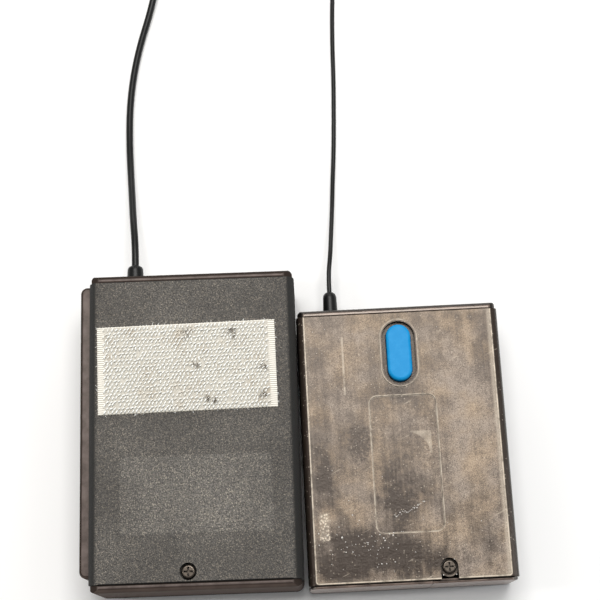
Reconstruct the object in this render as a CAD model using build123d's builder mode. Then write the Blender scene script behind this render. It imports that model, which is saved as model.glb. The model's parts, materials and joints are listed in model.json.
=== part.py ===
"""Wireless lavalier microphone set.

A receiver pack and a transmitter pack lie side by side with their backs up. Each has a cord that leaves
its top end: the receiver's antenna lead, and the lead of the clip-on microphone. The origin is the centre
of the receiver's underside, +Z is up, +Y points to the packs' top ends, +X from receiver to transmitter.
"""

import os
from math import cos, pi, radians, sin, tan

from build123d import *

os.makedirs("parts", exist_ok=True)

# ---------------------------------------------------------------- driving dimensions, millimetres

SEAM = 0.12  # gap at a seam between two mouldings
CLEAR = 0.05  # radial clearance of a turning or sliding fit
INSET = 0.5  # how far the end walls stand in from the covers' sides
RIM = 0.3  # rounding or bevel of the edges along the seams on the back

# receiver pack
RX_WIDTH, RX_LENGTH, RX_HEIGHT = 60.0, 91.0, 25.0
RX_WALL = 1.8
RX_FLOOR = 1.8
RX_LIP_BOTTOM, RX_LIP_TOP = 2.1, 1.9  # thickness of the end walls
RX_SPLIT = 12.5  # height of the parting line
RX_EDGE = 3.5  # rounding along the back cover's long edges
RX_LIP_Z = 24.7  # height of the end walls
RX_BOARD_Z = 4.2  # underside of the circuit board
RX_PORT_Z = 9.8  # height of the jack, lamp and switch openings

# transmitter pack
TX_WIDTH, TX_LENGTH, TX_HEIGHT = 59.0, 80.2, 21.0
TX_WALL = 1.4
TX_FLOOR = 1.4
TX_LIP_BOTTOM, TX_LIP_TOP = 0.8, 1.8
TX_END_WALL = 0.6  # extra thickness of the bottom end, below the back cover's plate
TX_SPLIT = 10.5
TX_EDGE = 2.4
TX_LIP_Z = 20.7
TX_BOARD_Z = 3.2
TX_PORT_Z = 8.6
TX_CENTRE = (60.2, -5.85)
TX_TURN = 0.8  # degrees, anticlockwise from above

# 9 volt battery
BATTERY_WIDTH, BATTERY_BODY, BATTERY_HEIGHT = 26.5, 46.4, 17.5
SNAP_HEIGHT = 2.1
SNAP_SPACING = 12.7
SNAP_RADII = (2.8, 3.85)

BOARD = 1.6  # circuit board thickness

# leads
ANTENNA_RADIUS = 1.1
MIC_LEAD_RADIUS = 0.7
ANTENNA_COIL = {"centre": (-23.1, 166.0), "middle": 11.0, "columns": 2, "layers": 2}
MIC_COIL = {"centre": (57.5, 161.0), "middle": 8.4, "columns": 5, "layers": 4}
MIC_AXIS_Z = 5.2

rx = Plane.XY
tx = Plane(
    origin=(TX_CENTRE[0], TX_CENTRE[1], 0),
    x_dir=(cos(radians(TX_TURN)), sin(radians(TX_TURN)), 0),
    z_dir=(0, 0, 1),
)

# ---------------------------------------------------------------- planes in a pack's own frame


def flat(frame, x=0.0, y=0.0, z=0.0):
    """Level plane at a point of a frame."""
    return Plane(frame.from_local_coords(Vector(x, y, z)), x_dir=frame.x_dir, z_dir=frame.z_dir)


def upright(frame, x=0.0, y=0.0, z=0.0):
    """Plane across a frame: local x along the width, local y up, normal towards the bottom end."""
    return Plane(frame.from_local_coords(Vector(x, y, z)), x_dir=frame.x_dir, z_dir=frame.y_dir * -1)


def sideways(frame, x=0.0, y=0.0, z=0.0):
    """Plane along a frame: local x along the length, local y up, normal to the right."""
    return Plane(frame.from_local_coords(Vector(x, y, z)), x_dir=frame.y_dir, z_dir=frame.x_dir)


def long_axis(frame, x, z):
    """Axis along the length of a frame, at one place of its cross-section."""
    return Axis(frame.from_local_coords(Vector(x, 0, z)), frame.y_dir)


def save(piece, name):
    """Label a finished piece and write it as its own file."""
    piece.part.label = name
    export_step(piece.part, f"parts/{name}.step")


# ---------------------------------------------------------------- casings


def casing_block(frame, width, length, split, lip_z, low_edge, high_edge, corners, end_edges):
    """Outer form of a pack: full width up to the parting line, a little narrower above it."""
    with BuildPart() as block:
        with BuildSketch(flat(frame)):
            Rectangle(width, length)
            fillet(vertices().group_by(Axis.Y)[0], corners[0])
            fillet(vertices().group_by(Axis.Y)[-1], corners[1])
        extrude(amount=lip_z)
        with BuildSketch(upright(frame, y=length / 2)):
            with Locations((0, split / 2)):
                Rectangle(width, split)
            with Locations((0, lip_z / 2)):
                Rectangle(width - 2 * INSET, lip_z)
            fillet(vertices().group_by(Axis.Y)[0], low_edge)
            fillet(vertices().group_by(Axis.Y)[-1], high_edge)
        extrude(amount=length, mode=Mode.INTERSECT)
        with BuildSketch(sideways(frame, -width / 2, 0, lip_z / 2)):
            Rectangle(length, lip_z)
            fillet(vertices().group_by(Axis.Y)[-1].sort_by(Axis.X)[0], end_edges[0])
            fillet(vertices().group_by(Axis.Y)[-1].sort_by(Axis.X)[-1], end_edges[1])
        extrude(amount=width, mode=Mode.INTERSECT)
    return block.part


def tray(frame, block, width, length, split, lip_z, wall, floor, lips, rim):
    """Front half of a casing: a tray whose end walls stand the full height."""
    lip_bottom, lip_top = lips
    inner_length = length - lip_bottom - lip_top
    half = inner_length / 2
    middle = (lip_bottom - lip_top) / 2
    with BuildPart() as shell:
        add(block)
        with BuildSketch(flat(frame, y=middle, z=floor)):
            RectangleRounded(width - 2 * wall, inner_length, 0.2)
        extrude(amount=split, mode=Mode.SUBTRACT)
        # all above the parting line but the end walls, whose inner edges are bevelled
        with BuildSketch(sideways(frame, -width / 2 - 1, middle, 0)):
            with BuildLine():
                Polyline(
                    (-half, split),
                    (half, split),
                    (half, lip_z - rim),
                    (half + 2 * rim, lip_z + rim),
                    (-half - 2 * rim, lip_z + rim),
                    (-half, lip_z - rim),
                    close=True,
                )
            make_face()
        extrude(amount=width + 2, mode=Mode.SUBTRACT)
    return shell.part


def channel(frame, width, length, split, height, wall, edge, lips):
    """Back cover: a channel that wraps over both long edges, between the tray's end walls."""
    lip_bottom, lip_top = lips
    top_y = length / 2 - lip_top - SEAM
    cover_length = length - lip_bottom - lip_top - 2 * SEAM
    middle = top_y - cover_length / 2
    low = split + SEAM
    with BuildPart() as cover:
        with BuildSketch(upright(frame, y=top_y)):
            with Locations((0, (low + height) / 2)):
                Rectangle(width, height - low)
            fillet(vertices().group_by(Axis.Y)[-1], edge)
        extrude(amount=cover_length)
        # rounded edges at both ends
        with BuildSketch(sideways(frame, -width / 2, middle, (low + height) / 2)):
            Rectangle(cover_length, height - low)
            fillet(vertices().group_by(Axis.Y)[-1], RIM)
        extrude(amount=width, mode=Mode.INTERSECT)
        with BuildSketch(flat(frame, 0, middle, low)):
            RectangleRounded(width, cover_length, RIM)
        extrude(amount=height - low, mode=Mode.INTERSECT)
        with BuildSketch(upright(frame, y=top_y)):
            with Locations((0, (low + height - wall) / 2)):
                Rectangle(width - 2 * wall, height - wall - low)
            fillet(vertices().group_by(Axis.Y)[-1], edge - wall + 0.4)
        extrude(amount=cover_length, mode=Mode.SUBTRACT)
    return cover.part


def posts(frame, places, radius, low, high, hole_radius):
    """Round bosses with a screw hole down their middle."""
    with BuildPart() as bosses:
        with BuildSketch(flat(frame, z=low)):
            with Locations(*places):
                Circle(radius)
        extrude(amount=high - low)
        with BuildSketch(flat(frame, z=high)):
            with Locations(*places):
                Circle(hole_radius)
        extrude(amount=low - high, mode=Mode.SUBTRACT)
    return bosses.part


def cross_head_screws(plane, places, head_radius, head_height, shank_radius, shank_length):
    """Pan-head screws with a cross recess; the plane is the seat of their heads."""
    slot = (head_radius * 1.25, head_radius * 0.24)
    with BuildPart() as screws:
        with BuildSketch(plane):
            with Locations(*places):
                Circle(head_radius)
        extrude(amount=head_height)
        rims = screws.edges().filter_by(GeomType.CIRCLE).group_by(Axis.Z)[-1]
        fillet(rims, head_height * 0.45)
        with BuildSketch(plane):
            with Locations(*places):
                Circle(shank_radius)
        extrude(amount=-shank_length)
        with BuildSketch(plane.offset(head_height)):
            with Locations(*places):
                Rectangle(*slot)
                Rectangle(slot[1], slot[0])
        extrude(amount=-head_height * 0.7, mode=Mode.SUBTRACT)
    return screws


# ---------------------------------------------------------------- hinged battery doors

BARREL_HOLE = 0.56
PIN_RADIUS = 0.5


def barrels(plane, places, width, radius, foot):
    """Hinge barrels round the origin of an end-on plane, each with a foot of (x, y, width, height)."""
    foot_x, foot_y, foot_width, foot_height = foot
    with BuildPart() as knuckles:
        for place in places:
            start = plane.offset(place - width / 2)
            with BuildSketch(start):
                Circle(radius)
                with Locations((foot_x, foot_y)):
                    Rectangle(foot_width, foot_height)
                Circle(BARREL_HOLE, mode=Mode.SUBTRACT)
            extrude(amount=width)
    return knuckles.part


# ---------------------------------------------------------------- electrical pieces shared by the packs


def battery_pieces(frame, prefix, x, y, z):
    """A 9 volt battery with its snap terminals and the snap connector; x, y, z is its bottom centre."""
    middle_z = z + BATTERY_HEIGHT / 2
    top_y = y + BATTERY_BODY
    snaps_x = (-SNAP_SPACING / 2, SNAP_SPACING / 2)
    with BuildPart() as battery:
        with BuildSketch(upright(frame, x, top_y, middle_z)):
            RectangleRounded(BATTERY_WIDTH, BATTERY_HEIGHT, 2.2)
        extrude(amount=BATTERY_BODY)
        fillet(battery.faces().sort_by(Axis(frame.origin, frame.y_dir))[0].edges(), 0.5)
    save(battery, f"{prefix}_battery")

    with BuildPart() as snaps:
        for snap_x, radius in zip(snaps_x, SNAP_RADII):
            with BuildSketch(upright(frame, x + snap_x, top_y, middle_z)):
                Circle(radius)
            extrude(amount=-SNAP_HEIGHT)
        with BuildSketch(upright(frame, x + snaps_x[1], top_y + SNAP_HEIGHT, middle_z)):
            Circle(SNAP_RADII[0] + 0.2)
        extrude(amount=SNAP_HEIGHT - 0.4, mode=Mode.SUBTRACT)
    save(snaps, f"{prefix}_battery_snaps")

    plate = 3.6
    with BuildPart() as connector:
        with BuildSketch(upright(frame, x, top_y + SEAM + plate, middle_z)):
            RectangleRounded(25.0, 12.6, 2.0)
        extrude(amount=plate)
        for snap_x, radius in zip(snaps_x, SNAP_RADII):
            with BuildSketch(upright(frame, x + snap_x, top_y + SNAP_HEIGHT + 0.2, middle_z)):
                Circle(radius + 0.25)
            extrude(amount=SNAP_HEIGHT + 0.2, mode=Mode.SUBTRACT)
    save(connector, f"{prefix}_battery_connector")


def board_with(frame, z, outline, holes, hole_radius):
    """Circuit board of the given outline with round holes."""
    with BuildPart() as board:
        with BuildSketch(flat(frame, z=z)):
            with BuildLine():
                Polyline(*outline, close=True)
            make_face()
            with Locations(*holes):
                Circle(hole_radius, mode=Mode.SUBTRACT)
        extrude(amount=BOARD)
    return board


def blocks(plane, places, size, edge):
    """Equal rectangular pieces standing on a plane, with rounded upright edges."""
    with BuildPart() as group:
        with BuildSketch(plane):
            with Locations(*places):
                RectangleRounded(size[0], size[1], edge)
        extrude(amount=size[2])
    return group


def cans(plane, places, radius, height, edge):
    """Equal round pieces standing on a plane, with a rounded rim."""
    with BuildPart() as group:
        with BuildSketch(plane):
            with Locations(*places):
                Circle(radius)
        extrude(amount=height)
        fillet(group.edges().filter_by(GeomType.CIRCLE).group_by(Axis.Z)[-1], edge)
    return group


SLIDER_WIDTH, SLIDER_HEIGHT = 3.0, 2.4
SLIDER_TRAVEL = 2.5
SLIDER_PROUD = 1.3


def slider_slot():
    """Width and height of the opening that a power slider moves in."""
    return SLIDER_WIDTH + SLIDER_TRAVEL + 0.6, SLIDER_HEIGHT + 0.4


def power_switch(frame, prefix, x, wall_in, wall_out, z, board_top):
    """A slide switch behind the top end wall, and its slider, which stands at the left of its travel."""
    width, depth = 7.4, 4.6
    front = wall_in - SEAM
    top = z + SLIDER_HEIGHT / 2 + 0.9
    recess = 1.2
    with BuildPart() as body:
        with BuildSketch(flat(frame, x, front - depth / 2, board_top)):
            Rectangle(width, depth)
        extrude(amount=top - board_top)
        with BuildSketch(upright(frame, x, front, z)):
            Rectangle(*slider_slot())
        extrude(amount=recess, mode=Mode.SUBTRACT)
    save(body, f"{prefix}_power_switch")

    knob_x = x - SLIDER_TRAVEL / 2
    knob_end = wall_out + SLIDER_PROUD
    ridges = [(-0.9, 0), (0, 0), (0.9, 0)]
    with BuildPart() as slider:
        with BuildSketch(upright(frame, knob_x, knob_end, z)):
            RectangleRounded(SLIDER_WIDTH, SLIDER_HEIGHT, 0.3)
        extrude(amount=knob_end - front + recess - 0.2)
        with BuildSketch(upright(frame, knob_x, knob_end, z)):
            with Locations(*ridges):
                Rectangle(0.35, SLIDER_HEIGHT)
        extrude(amount=0.35, mode=Mode.SUBTRACT)
    save(slider, f"{prefix}_power_slider")


LAMP_RADIUS = 1.5


def lamp(frame, name, x, wall_in, wall_out, z):
    """Round lamp whose domed end stands just out of the top end wall."""
    flange_y = wall_in - SEAM
    with BuildPart() as body:
        with BuildSketch(upright(frame, x, wall_out + 0.6, z)):
            Circle(LAMP_RADIUS)
        extrude(amount=wall_out + 0.6 - flange_y + 4.6)
        fillet(body.faces().sort_by(Axis(frame.origin, frame.y_dir))[-1].edges(), LAMP_RADIUS * 0.8)
        with BuildSketch(upright(frame, x, flange_y, z)):
            Circle(LAMP_RADIUS + 0.35)
        extrude(amount=1.0)
    save(body, name)


def gland(frame, name, x, z, wall_in, wall_out, neck, base, shoulder, mouth, length):
    """Moulded strain relief: an inner flange, a neck through the wall and a round-shouldered nose outside."""
    nose_y = wall_out + length
    shoulder_y = wall_out + length * 0.72
    with BuildPart() as relief:
        with BuildSketch(flat(frame, x, 0, z)):
            with BuildLine():
                Polyline(
                    (0, wall_in - 1.5),
                    (base, wall_in - 1.5),
                    (base, wall_in - SEAM),
                    (neck, wall_in - SEAM),
                    (neck, wall_out),
                    (base, wall_out),
                    (shoulder, shoulder_y),
                )
                Spline(
                    (shoulder, shoulder_y),
                    (mouth + (shoulder - mouth) * 0.72, nose_y - length * 0.08),
                    (mouth, nose_y),
                    tangents=((0, 1), (-1, 0.25)),
                )
                Polyline((mouth, nose_y), (0, nose_y), (0, wall_in - 1.5))
            make_face()
        revolve(axis=long_axis(frame, x, z))
    save(relief, name)


# ---------------------------------------------------------------- leads


def lead(name, route, radius):
    """Tube of straight runs joined by arcs as large as each pair of runs allows."""
    points = [Vector(*point) for point in route]
    bends = []
    for before, corner, after in zip(points, points[1:], points[2:]):
        turn = radians((corner - before).get_angle(after - corner))
        shorter = min((corner - before).length, (after - corner).length)
        bends.append(0.45 * shorter / tan(turn / 2))
    with BuildPart() as tube:
        with BuildLine() as path:
            FilletPolyline(*points, radius=bends)
        with BuildSketch(Plane(points[0], z_dir=points[1] - points[0])):
            Circle(radius)
        sweep(path=path.wires()[0])
    length = path.wires()[0].length
    ratio = tube.part.volume / (pi * radius**2 * length)
    print(f"{name}: length {length:.1f}, volume ratio {ratio:.4f}, bends", [round(bend) for bend in bends])
    save(tube, name)


def coil(name, measures, radius):
    """Outer form of a wound lead: a ring as wide and high as its turns."""
    width = measures["columns"] * 2 * radius
    height = measures["layers"] * 2 * radius
    centre = measures["centre"]
    with BuildPart() as ring:
        with BuildSketch(Plane((centre[0], centre[1], 0), x_dir=(1, 0, 0), z_dir=(0, -1, 0))):
            with Locations((measures["middle"], height / 2)):
                RectangleRounded(width, height, radius * 0.9)
        revolve(axis=Axis((centre[0], centre[1], 0), (0, 0, 1)))
    save(ring, name)


def tie(name, measures, radius, bearing):
    """Band round a coil's turns at one bearing, its underside level with the coil's."""
    band, thickness = 3.0, 0.5
    width = measures["columns"] * 2 * radius
    height = measures["layers"] * 2 * radius
    outward = Vector(cos(radians(bearing)), sin(radians(bearing)), 0)
    origin = Vector(*measures["centre"], 0) + outward * measures["middle"]
    plane = Plane(origin, x_dir=outward, z_dir=outward.cross(Vector(0, 0, 1)))
    with BuildPart() as strap:
        with BuildSketch(plane.offset(-band / 2)):
            with Locations((0, (height + thickness) / 2)):
                RectangleRounded(width + 2 * thickness, height + thickness, radius)
                RectangleRounded(width, height - thickness, radius * 0.8, mode=Mode.SUBTRACT)
        extrude(amount=band)
    save(strap, name)


# ================================================================ receiver pack

rx_block = casing_block(
    rx, RX_WIDTH, RX_LENGTH, RX_SPLIT, RX_LIP_Z, 1.6, RX_EDGE - 0.3, (2.4, 2.0), (1.5, 1.3)
)
RX_LIPS = (RX_LIP_BOTTOM, RX_LIP_TOP)
RX_TOP_OUT = RX_LENGTH / 2
RX_TOP_IN = RX_TOP_OUT - RX_LIP_TOP
RX_BOARD_TOP = RX_BOARD_Z + BOARD

# places on the receiver
RX_SCREW = (-1.9, -40.4)
RX_BOARD_SCREWS = [(24.6, -37.5), (24.6, 16.0), (-24.4, 24.0)]
RX_GLAND_X = -17.7
RX_LAMP_X = -10.6
RX_JACK_X = -3.2
RX_WHEEL_X = 11.4
RX_SWITCH_X = 23.9
JACK_RADIUS = 1.8
JACK_BUSH = 2.8
JACK_DEPTH = 14.0
JACK_PROUD = 0.5

# thumb wheel
WHEEL_RADIUS = 8.0
WHEEL_THICK = 2.6
WHEEL_Z = 10.3
WHEEL_Y = RX_TOP_OUT + 1.2 - WHEEL_RADIUS
POT_HEIGHT = 4.2

# battery door on the left side
DOOR_OUT = -RX_WIDTH / 2 - 2.8
DOOR_IN = -RX_WIDTH / 2 - 0.1
DOOR_Y, DOOR_LENGTH = 1.1, 84.4
DOOR_TOP = 21.0
RX_HINGE_RADIUS = 1.0
RX_HINGE_X = DOOR_OUT + RX_HINGE_RADIUS
RX_HINGE_Z = 2.9
PLUG_LENGTH = DOOR_LENGTH - 6.4
PLUG_LOW, PLUG_HIGH = 3.9, 20.2
RX_LUGS = [DOOR_Y - 38.0, DOOR_Y, DOOR_Y + 38.0]
RX_LUG_WIDTH = 4.0
RX_KNUCKLES = [DOOR_Y - 19.0, DOOR_Y + 19.0]
RX_KNUCKLE_WIDTH = 38.0 - RX_LUG_WIDTH - 0.4


def door_opening(frame):
    """Opening in the receiver's left side, with room for the door's plug to swing out."""
    low, high = PLUG_LOW - 0.4, PLUG_HIGH + 0.5
    with BuildPart() as opening:
        with BuildSketch(sideways(frame, DOOR_IN - 1, DOOR_Y, (low + high) / 2)):
            Rectangle(PLUG_LENGTH + 1.4, high - low)
        extrude(amount=RX_WALL + 2)
    return opening.part


TONGUE = (6.0, 1.2)  # width and thickness of the tongues that hold a cover's top end
TONGUE_PLACES = [(-18.0, 0), (18.0, 0)]
TONGUE_REACH = 0.9
TONGUE_Z = 21.6

with BuildPart() as rx_front_shell:
    add(tray(rx, rx_block, RX_WIDTH, RX_LENGTH, RX_SPLIT, RX_LIP_Z, RX_WALL, RX_FLOOR, RX_LIPS, RIM))
    # the opening of the battery door and its hinge lugs
    add(door_opening(rx), mode=Mode.SUBTRACT)
    lug_root = -RX_WIDTH / 2 + 0.3 - RX_HINGE_X
    lug_plane = Plane((RX_HINGE_X, 0, RX_HINGE_Z), x_dir=(-1, 0, 0), z_dir=(0, 1, 0))
    lug_foot = (-lug_root / 2, 0, lug_root, 1.7)
    add(barrels(lug_plane, RX_LUGS, RX_LUG_WIDTH, RX_HINGE_RADIUS, lug_foot))
    # bosses for the circuit board and the cover screw
    add(posts(rx, RX_BOARD_SCREWS, 2.6, RX_FLOOR - 0.2, RX_BOARD_Z, 1.0))
    add(posts(rx, [RX_SCREW], 2.5, RX_FLOOR - 0.2, RX_SPLIT - 1.0, 1.0))
    # openings in the top end wall
    with BuildSketch(upright(rx, 0, RX_TOP_OUT + 1, 0)):
        with Locations((RX_GLAND_X, RX_SPLIT)):
            Circle(1.75)
        with Locations((RX_LAMP_X, RX_PORT_Z)):
            Circle(LAMP_RADIUS + 0.1)
        with Locations((RX_JACK_X, RX_PORT_Z)):
            Circle(JACK_BUSH + 0.1)
        with Locations((RX_WHEEL_X, WHEEL_Z + WHEEL_THICK / 2)):
            SlotOverall(13.8, WHEEL_THICK + 0.8)
        with Locations((RX_SWITCH_X, RX_PORT_Z)):
            Rectangle(*slider_slot())
    extrude(amount=RX_LIP_TOP + 1.2, mode=Mode.SUBTRACT)
    # slots that take the cover's tongues
    with BuildSketch(upright(rx, 0, RX_TOP_IN, TONGUE_Z)):
        with Locations(*TONGUE_PLACES):
            Rectangle(TONGUE[0] + 0.4, TONGUE[1] + 0.3)
    extrude(amount=-TONGUE_REACH - 0.1, mode=Mode.SUBTRACT)
save(rx_front_shell, "rx_front_shell")

SCREW_RECESS = 2.4
with BuildPart() as rx_back_cover:
    add(channel(rx, RX_WIDTH, RX_LENGTH, RX_SPLIT, RX_HEIGHT, RX_WALL, RX_EDGE, RX_LIPS))
    add(door_opening(rx), mode=Mode.SUBTRACT)
    with BuildSketch(upright(rx, 0, RX_TOP_IN - SEAM, TONGUE_Z)):
        with Locations(*TONGUE_PLACES):
            Rectangle(*TONGUE)
    extrude(amount=-TONGUE_REACH)
    with BuildSketch(upright(rx, 0, RX_TOP_IN - SEAM, TONGUE_Z + 0.5)):
        with Locations(*TONGUE_PLACES):
            Rectangle(TONGUE[0], TONGUE[1] + 1.2)
    extrude(amount=2.4)
    # boss and counterbore of the cover screw
    with BuildSketch(flat(rx, z=RX_SPLIT - 0.9)):
        with Locations(RX_SCREW):
            Circle(SCREW_RECESS + 0.3)
    extrude(amount=RX_HEIGHT - RX_SPLIT - 0.5)
    with Locations(flat(rx, *RX_SCREW, RX_HEIGHT)):
        CounterBoreHole(radius=1.3, counter_bore_radius=SCREW_RECESS, counter_bore_depth=1.9)
save(rx_back_cover, "rx_back_cover")

rx_cover_screw = cross_head_screws(flat(rx, *RX_SCREW, RX_HEIGHT - 1.9), [(0, 0)], 2.05, 1.5, 0.95, 14.5)
save(rx_cover_screw, "rx_cover_screw")

# rectangle of hook tape stuck on the back cover by hand, not quite square to it
TAPE_WIDTH, TAPE_LENGTH = 51.3, 25.7
TAPE_THICK = 1.3
TAPE_CENTRE = (-1.5, 17.3)
TAPE_TURN = 0.85
tape_plane = Plane(
    origin=(TAPE_CENTRE[0], TAPE_CENTRE[1], RX_HEIGHT),
    x_dir=(cos(radians(TAPE_TURN)), sin(radians(TAPE_TURN)), 0),
    z_dir=(0, 0, 1),
)
with BuildPart() as hook_tape:
    with BuildSketch(tape_plane):
        Rectangle(TAPE_WIDTH, TAPE_LENGTH)
    extrude(amount=TAPE_THICK)
save(hook_tape, "hook_tape")

with BuildPart() as rx_battery_door:
    with BuildSketch(flat(rx, (DOOR_OUT + DOOR_IN) / 2, DOOR_Y, RX_HINGE_Z)):
        Rectangle(DOOR_IN - DOOR_OUT, DOOR_LENGTH)
        fillet(vertices().group_by(Axis.X)[0], 1.9)
    extrude(amount=DOOR_TOP - RX_HINGE_Z)
    upper_rim = rx_battery_door.faces().sort_by(Axis.Z)[-1].edges().sort_by(Axis.X)[:-1]
    fillet(upper_rim, 0.9)
    # plug that fills the opening
    with BuildSketch(sideways(rx, DOOR_IN, DOOR_Y, (PLUG_LOW + PLUG_HIGH) / 2)):
        Rectangle(PLUG_LENGTH, PLUG_HIGH - PLUG_LOW)
    extrude(amount=RX_WALL - 0.2)
    # notches for the lugs, then the barrels between them
    for lug_y in RX_LUGS:
        with BuildSketch(flat(rx, (DOOR_OUT + DOOR_IN) / 2, lug_y, RX_HINGE_Z)):
            Rectangle(DOOR_IN - DOOR_OUT + 1, RX_LUG_WIDTH + 0.4)
        extrude(amount=RX_HINGE_RADIUS + 0.15, mode=Mode.SUBTRACT)
    with BuildSketch(upright(rx, RX_HINGE_X, DOOR_Y + DOOR_LENGTH / 2, RX_HINGE_Z)):
        Circle(RX_HINGE_RADIUS + 0.15)
    extrude(amount=DOOR_LENGTH, mode=Mode.SUBTRACT)
    add(barrels(lug_plane, RX_KNUCKLES, RX_KNUCKLE_WIDTH, RX_HINGE_RADIUS, (-0.35, 0.85, 1.9, 1.1)))
save(rx_battery_door, "rx_battery_door")

with BuildPart() as rx_door_pin:
    pin_length = RX_LUGS[-1] - RX_LUGS[0] + RX_LUG_WIDTH - 0.4
    with BuildSketch(upright(rx, RX_HINGE_X, DOOR_Y + pin_length / 2, RX_HINGE_Z)):
        Circle(PIN_RADIUS)
    extrude(amount=pin_length)
save(rx_door_pin, "rx_door_pin")

battery_pieces(rx, "rx", -14.5, -37.4, 2.3)

rx_outline = [(1.2, -42.4), (27.6, -42.4), (27.6, 43.2), (-27.6, 43.2), (-27.6, 14.5), (1.2, 14.5)]
rx_circuit_board = board_with(rx, RX_BOARD_Z, rx_outline, RX_BOARD_SCREWS, 1.3)
save(rx_circuit_board, "rx_circuit_board")

rx_board_screws = cross_head_screws(flat(rx, z=RX_BOARD_TOP), RX_BOARD_SCREWS, 2.2, 1.3, 0.95, 3.6)
save(rx_board_screws, "rx_board_screws")

on_rx_board = flat(rx, z=RX_BOARD_TOP)
save(blocks(on_rx_board, [(8.0, 22.0), (-8.0, 22.0), (16.0, -6.0)], (10.0, 6.4, 3.2), 0.2), "rx_chips")
save(blocks(on_rx_board, [(7.0, -34.0), (7.0, -22.0), (7.0, -10.0)], (7.6, 7.6, 9.0), 0.5), "rx_if_cans")
rx_capacitor_places = [(19.0, -34.0), (19.0, -26.0), (21.0, -18.0), (7.0, 4.0), (15.0, 6.0)]
save(cans(on_rx_board, rx_capacitor_places, 2.6, 7.0, 0.5), "rx_capacitors")
with BuildPart() as rx_crystal:
    with BuildSketch(flat(rx, 20.0, 27.0, RX_BOARD_TOP)):
        SlotOverall(10.6, 4.6)
    extrude(amount=12.0)
    fillet(rx_crystal.faces().sort_by(Axis.Z)[-1].edges(), 0.6)
save(rx_crystal, "rx_crystal")

power_switch(rx, "rx", RX_SWITCH_X, RX_TOP_IN, RX_TOP_OUT, RX_PORT_Z, RX_BOARD_TOP)
lamp(rx, "rx_power_led", RX_LAMP_X, RX_TOP_IN, RX_TOP_OUT, RX_PORT_Z)

with BuildPart() as rx_output_jack:
    jack_front = RX_TOP_IN - SEAM
    with BuildSketch(flat(rx, RX_JACK_X, jack_front - 6.0, RX_BOARD_TOP)):
        Rectangle(7.4, 12.0)
    extrude(amount=RX_PORT_Z - RX_BOARD_TOP + 3.6)
    with BuildSketch(upright(rx, RX_JACK_X, RX_TOP_OUT + JACK_PROUD, RX_PORT_Z)):
        Circle(JACK_BUSH)
    extrude(amount=RX_TOP_OUT + JACK_PROUD - jack_front + 0.5)
    with BuildSketch(upright(rx, RX_JACK_X, RX_TOP_OUT + JACK_PROUD, RX_PORT_Z)):
        Circle(JACK_RADIUS)
    extrude(amount=JACK_DEPTH, mode=Mode.SUBTRACT)
save(rx_output_jack, "rx_output_jack")

with BuildPart() as rx_volume_pot:
    with BuildSketch(flat(rx, RX_WHEEL_X, WHEEL_Y, RX_BOARD_TOP)):
        Circle(4.6)
    extrude(amount=POT_HEIGHT)
    with BuildSketch(flat(rx, RX_WHEEL_X, WHEEL_Y, RX_BOARD_TOP + POT_HEIGHT)):
        Circle(1.5 + CLEAR)
    extrude(amount=-POT_HEIGHT + 0.4, mode=Mode.SUBTRACT)
save(rx_volume_pot, "rx_volume_pot")

with BuildPart() as rx_volume_wheel:
    with BuildSketch(flat(rx, RX_WHEEL_X, WHEEL_Y, WHEEL_Z)):
        Circle(WHEEL_RADIUS)
        with PolarLocations(WHEEL_RADIUS + 0.1, 40):
            Circle(0.38, mode=Mode.SUBTRACT)
    extrude(amount=WHEEL_THICK)
    with BuildSketch(flat(rx, RX_WHEEL_X, WHEEL_Y, WHEEL_Z)):
        Circle(1.5)
    extrude(amount=-(WHEEL_Z - RX_BOARD_TOP - 0.8))
save(rx_volume_wheel, "rx_volume_wheel")

gland(rx, "rx_antenna_gland", RX_GLAND_X, RX_SPLIT, RX_TOP_IN, RX_TOP_OUT, 1.65, 2.6, 2.4, 1.3, 6.3)

# antenna lead: out of the gland, down to the surface, along it, then up onto its coil
ANTENNA_ROUTE = [
    (-17.7, 51.8, 12.5),
    (-17.7, 58.5, 12.5),
    (-18.5, 66.5, 10.6),
    (-19.3, 75.5, 6.9),
    (-20.2, 85.5, 3.1),
    (-20.8, 96.5, 1.4),
    (-20.7, 108.5, 1.1),
    (-19.4, 120.0, 1.1),
    (-17.2, 130.5, 1.1),
    (-14.4, 140.0, 1.1),
    (-12.1, 149.0, 2.0),
    (-11.1, 157.5, 3.2),
    (-11.0, 166.0, 3.3),
]
lead("rx_antenna_lead", ANTENNA_ROUTE, ANTENNA_RADIUS)
coil("rx_antenna_coil", ANTENNA_COIL, ANTENNA_RADIUS)
tie("rx_coil_tie", ANTENNA_COIL, ANTENNA_RADIUS, 215)

# moulded tip on the antenna's end, lying beside its coil
TIP_LENGTH, TIP_RADIUS = 12.0, 1.7
TIP_GAP = 3.0
coil_x, coil_y = ANTENNA_COIL["centre"]
tip_y = coil_y + ANTENNA_COIL["middle"] + 3 * ANTENNA_RADIUS
tip_start = Plane((coil_x - TIP_GAP, tip_y, TIP_RADIUS), x_dir=(0, 1, 0), z_dir=(-1, 0, 0))
with BuildPart() as rx_antenna_tip:
    with BuildSketch(tip_start):
        Circle(TIP_RADIUS)
    extrude(amount=TIP_LENGTH)
    fillet(rx_antenna_tip.faces().sort_by(Axis.X)[0].edges(), 1.3)
    fillet(rx_antenna_tip.faces().sort_by(Axis.X)[-1].edges(), 0.5)
save(rx_antenna_tip, "rx_antenna_tip")

# ================================================================ transmitter pack

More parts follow.
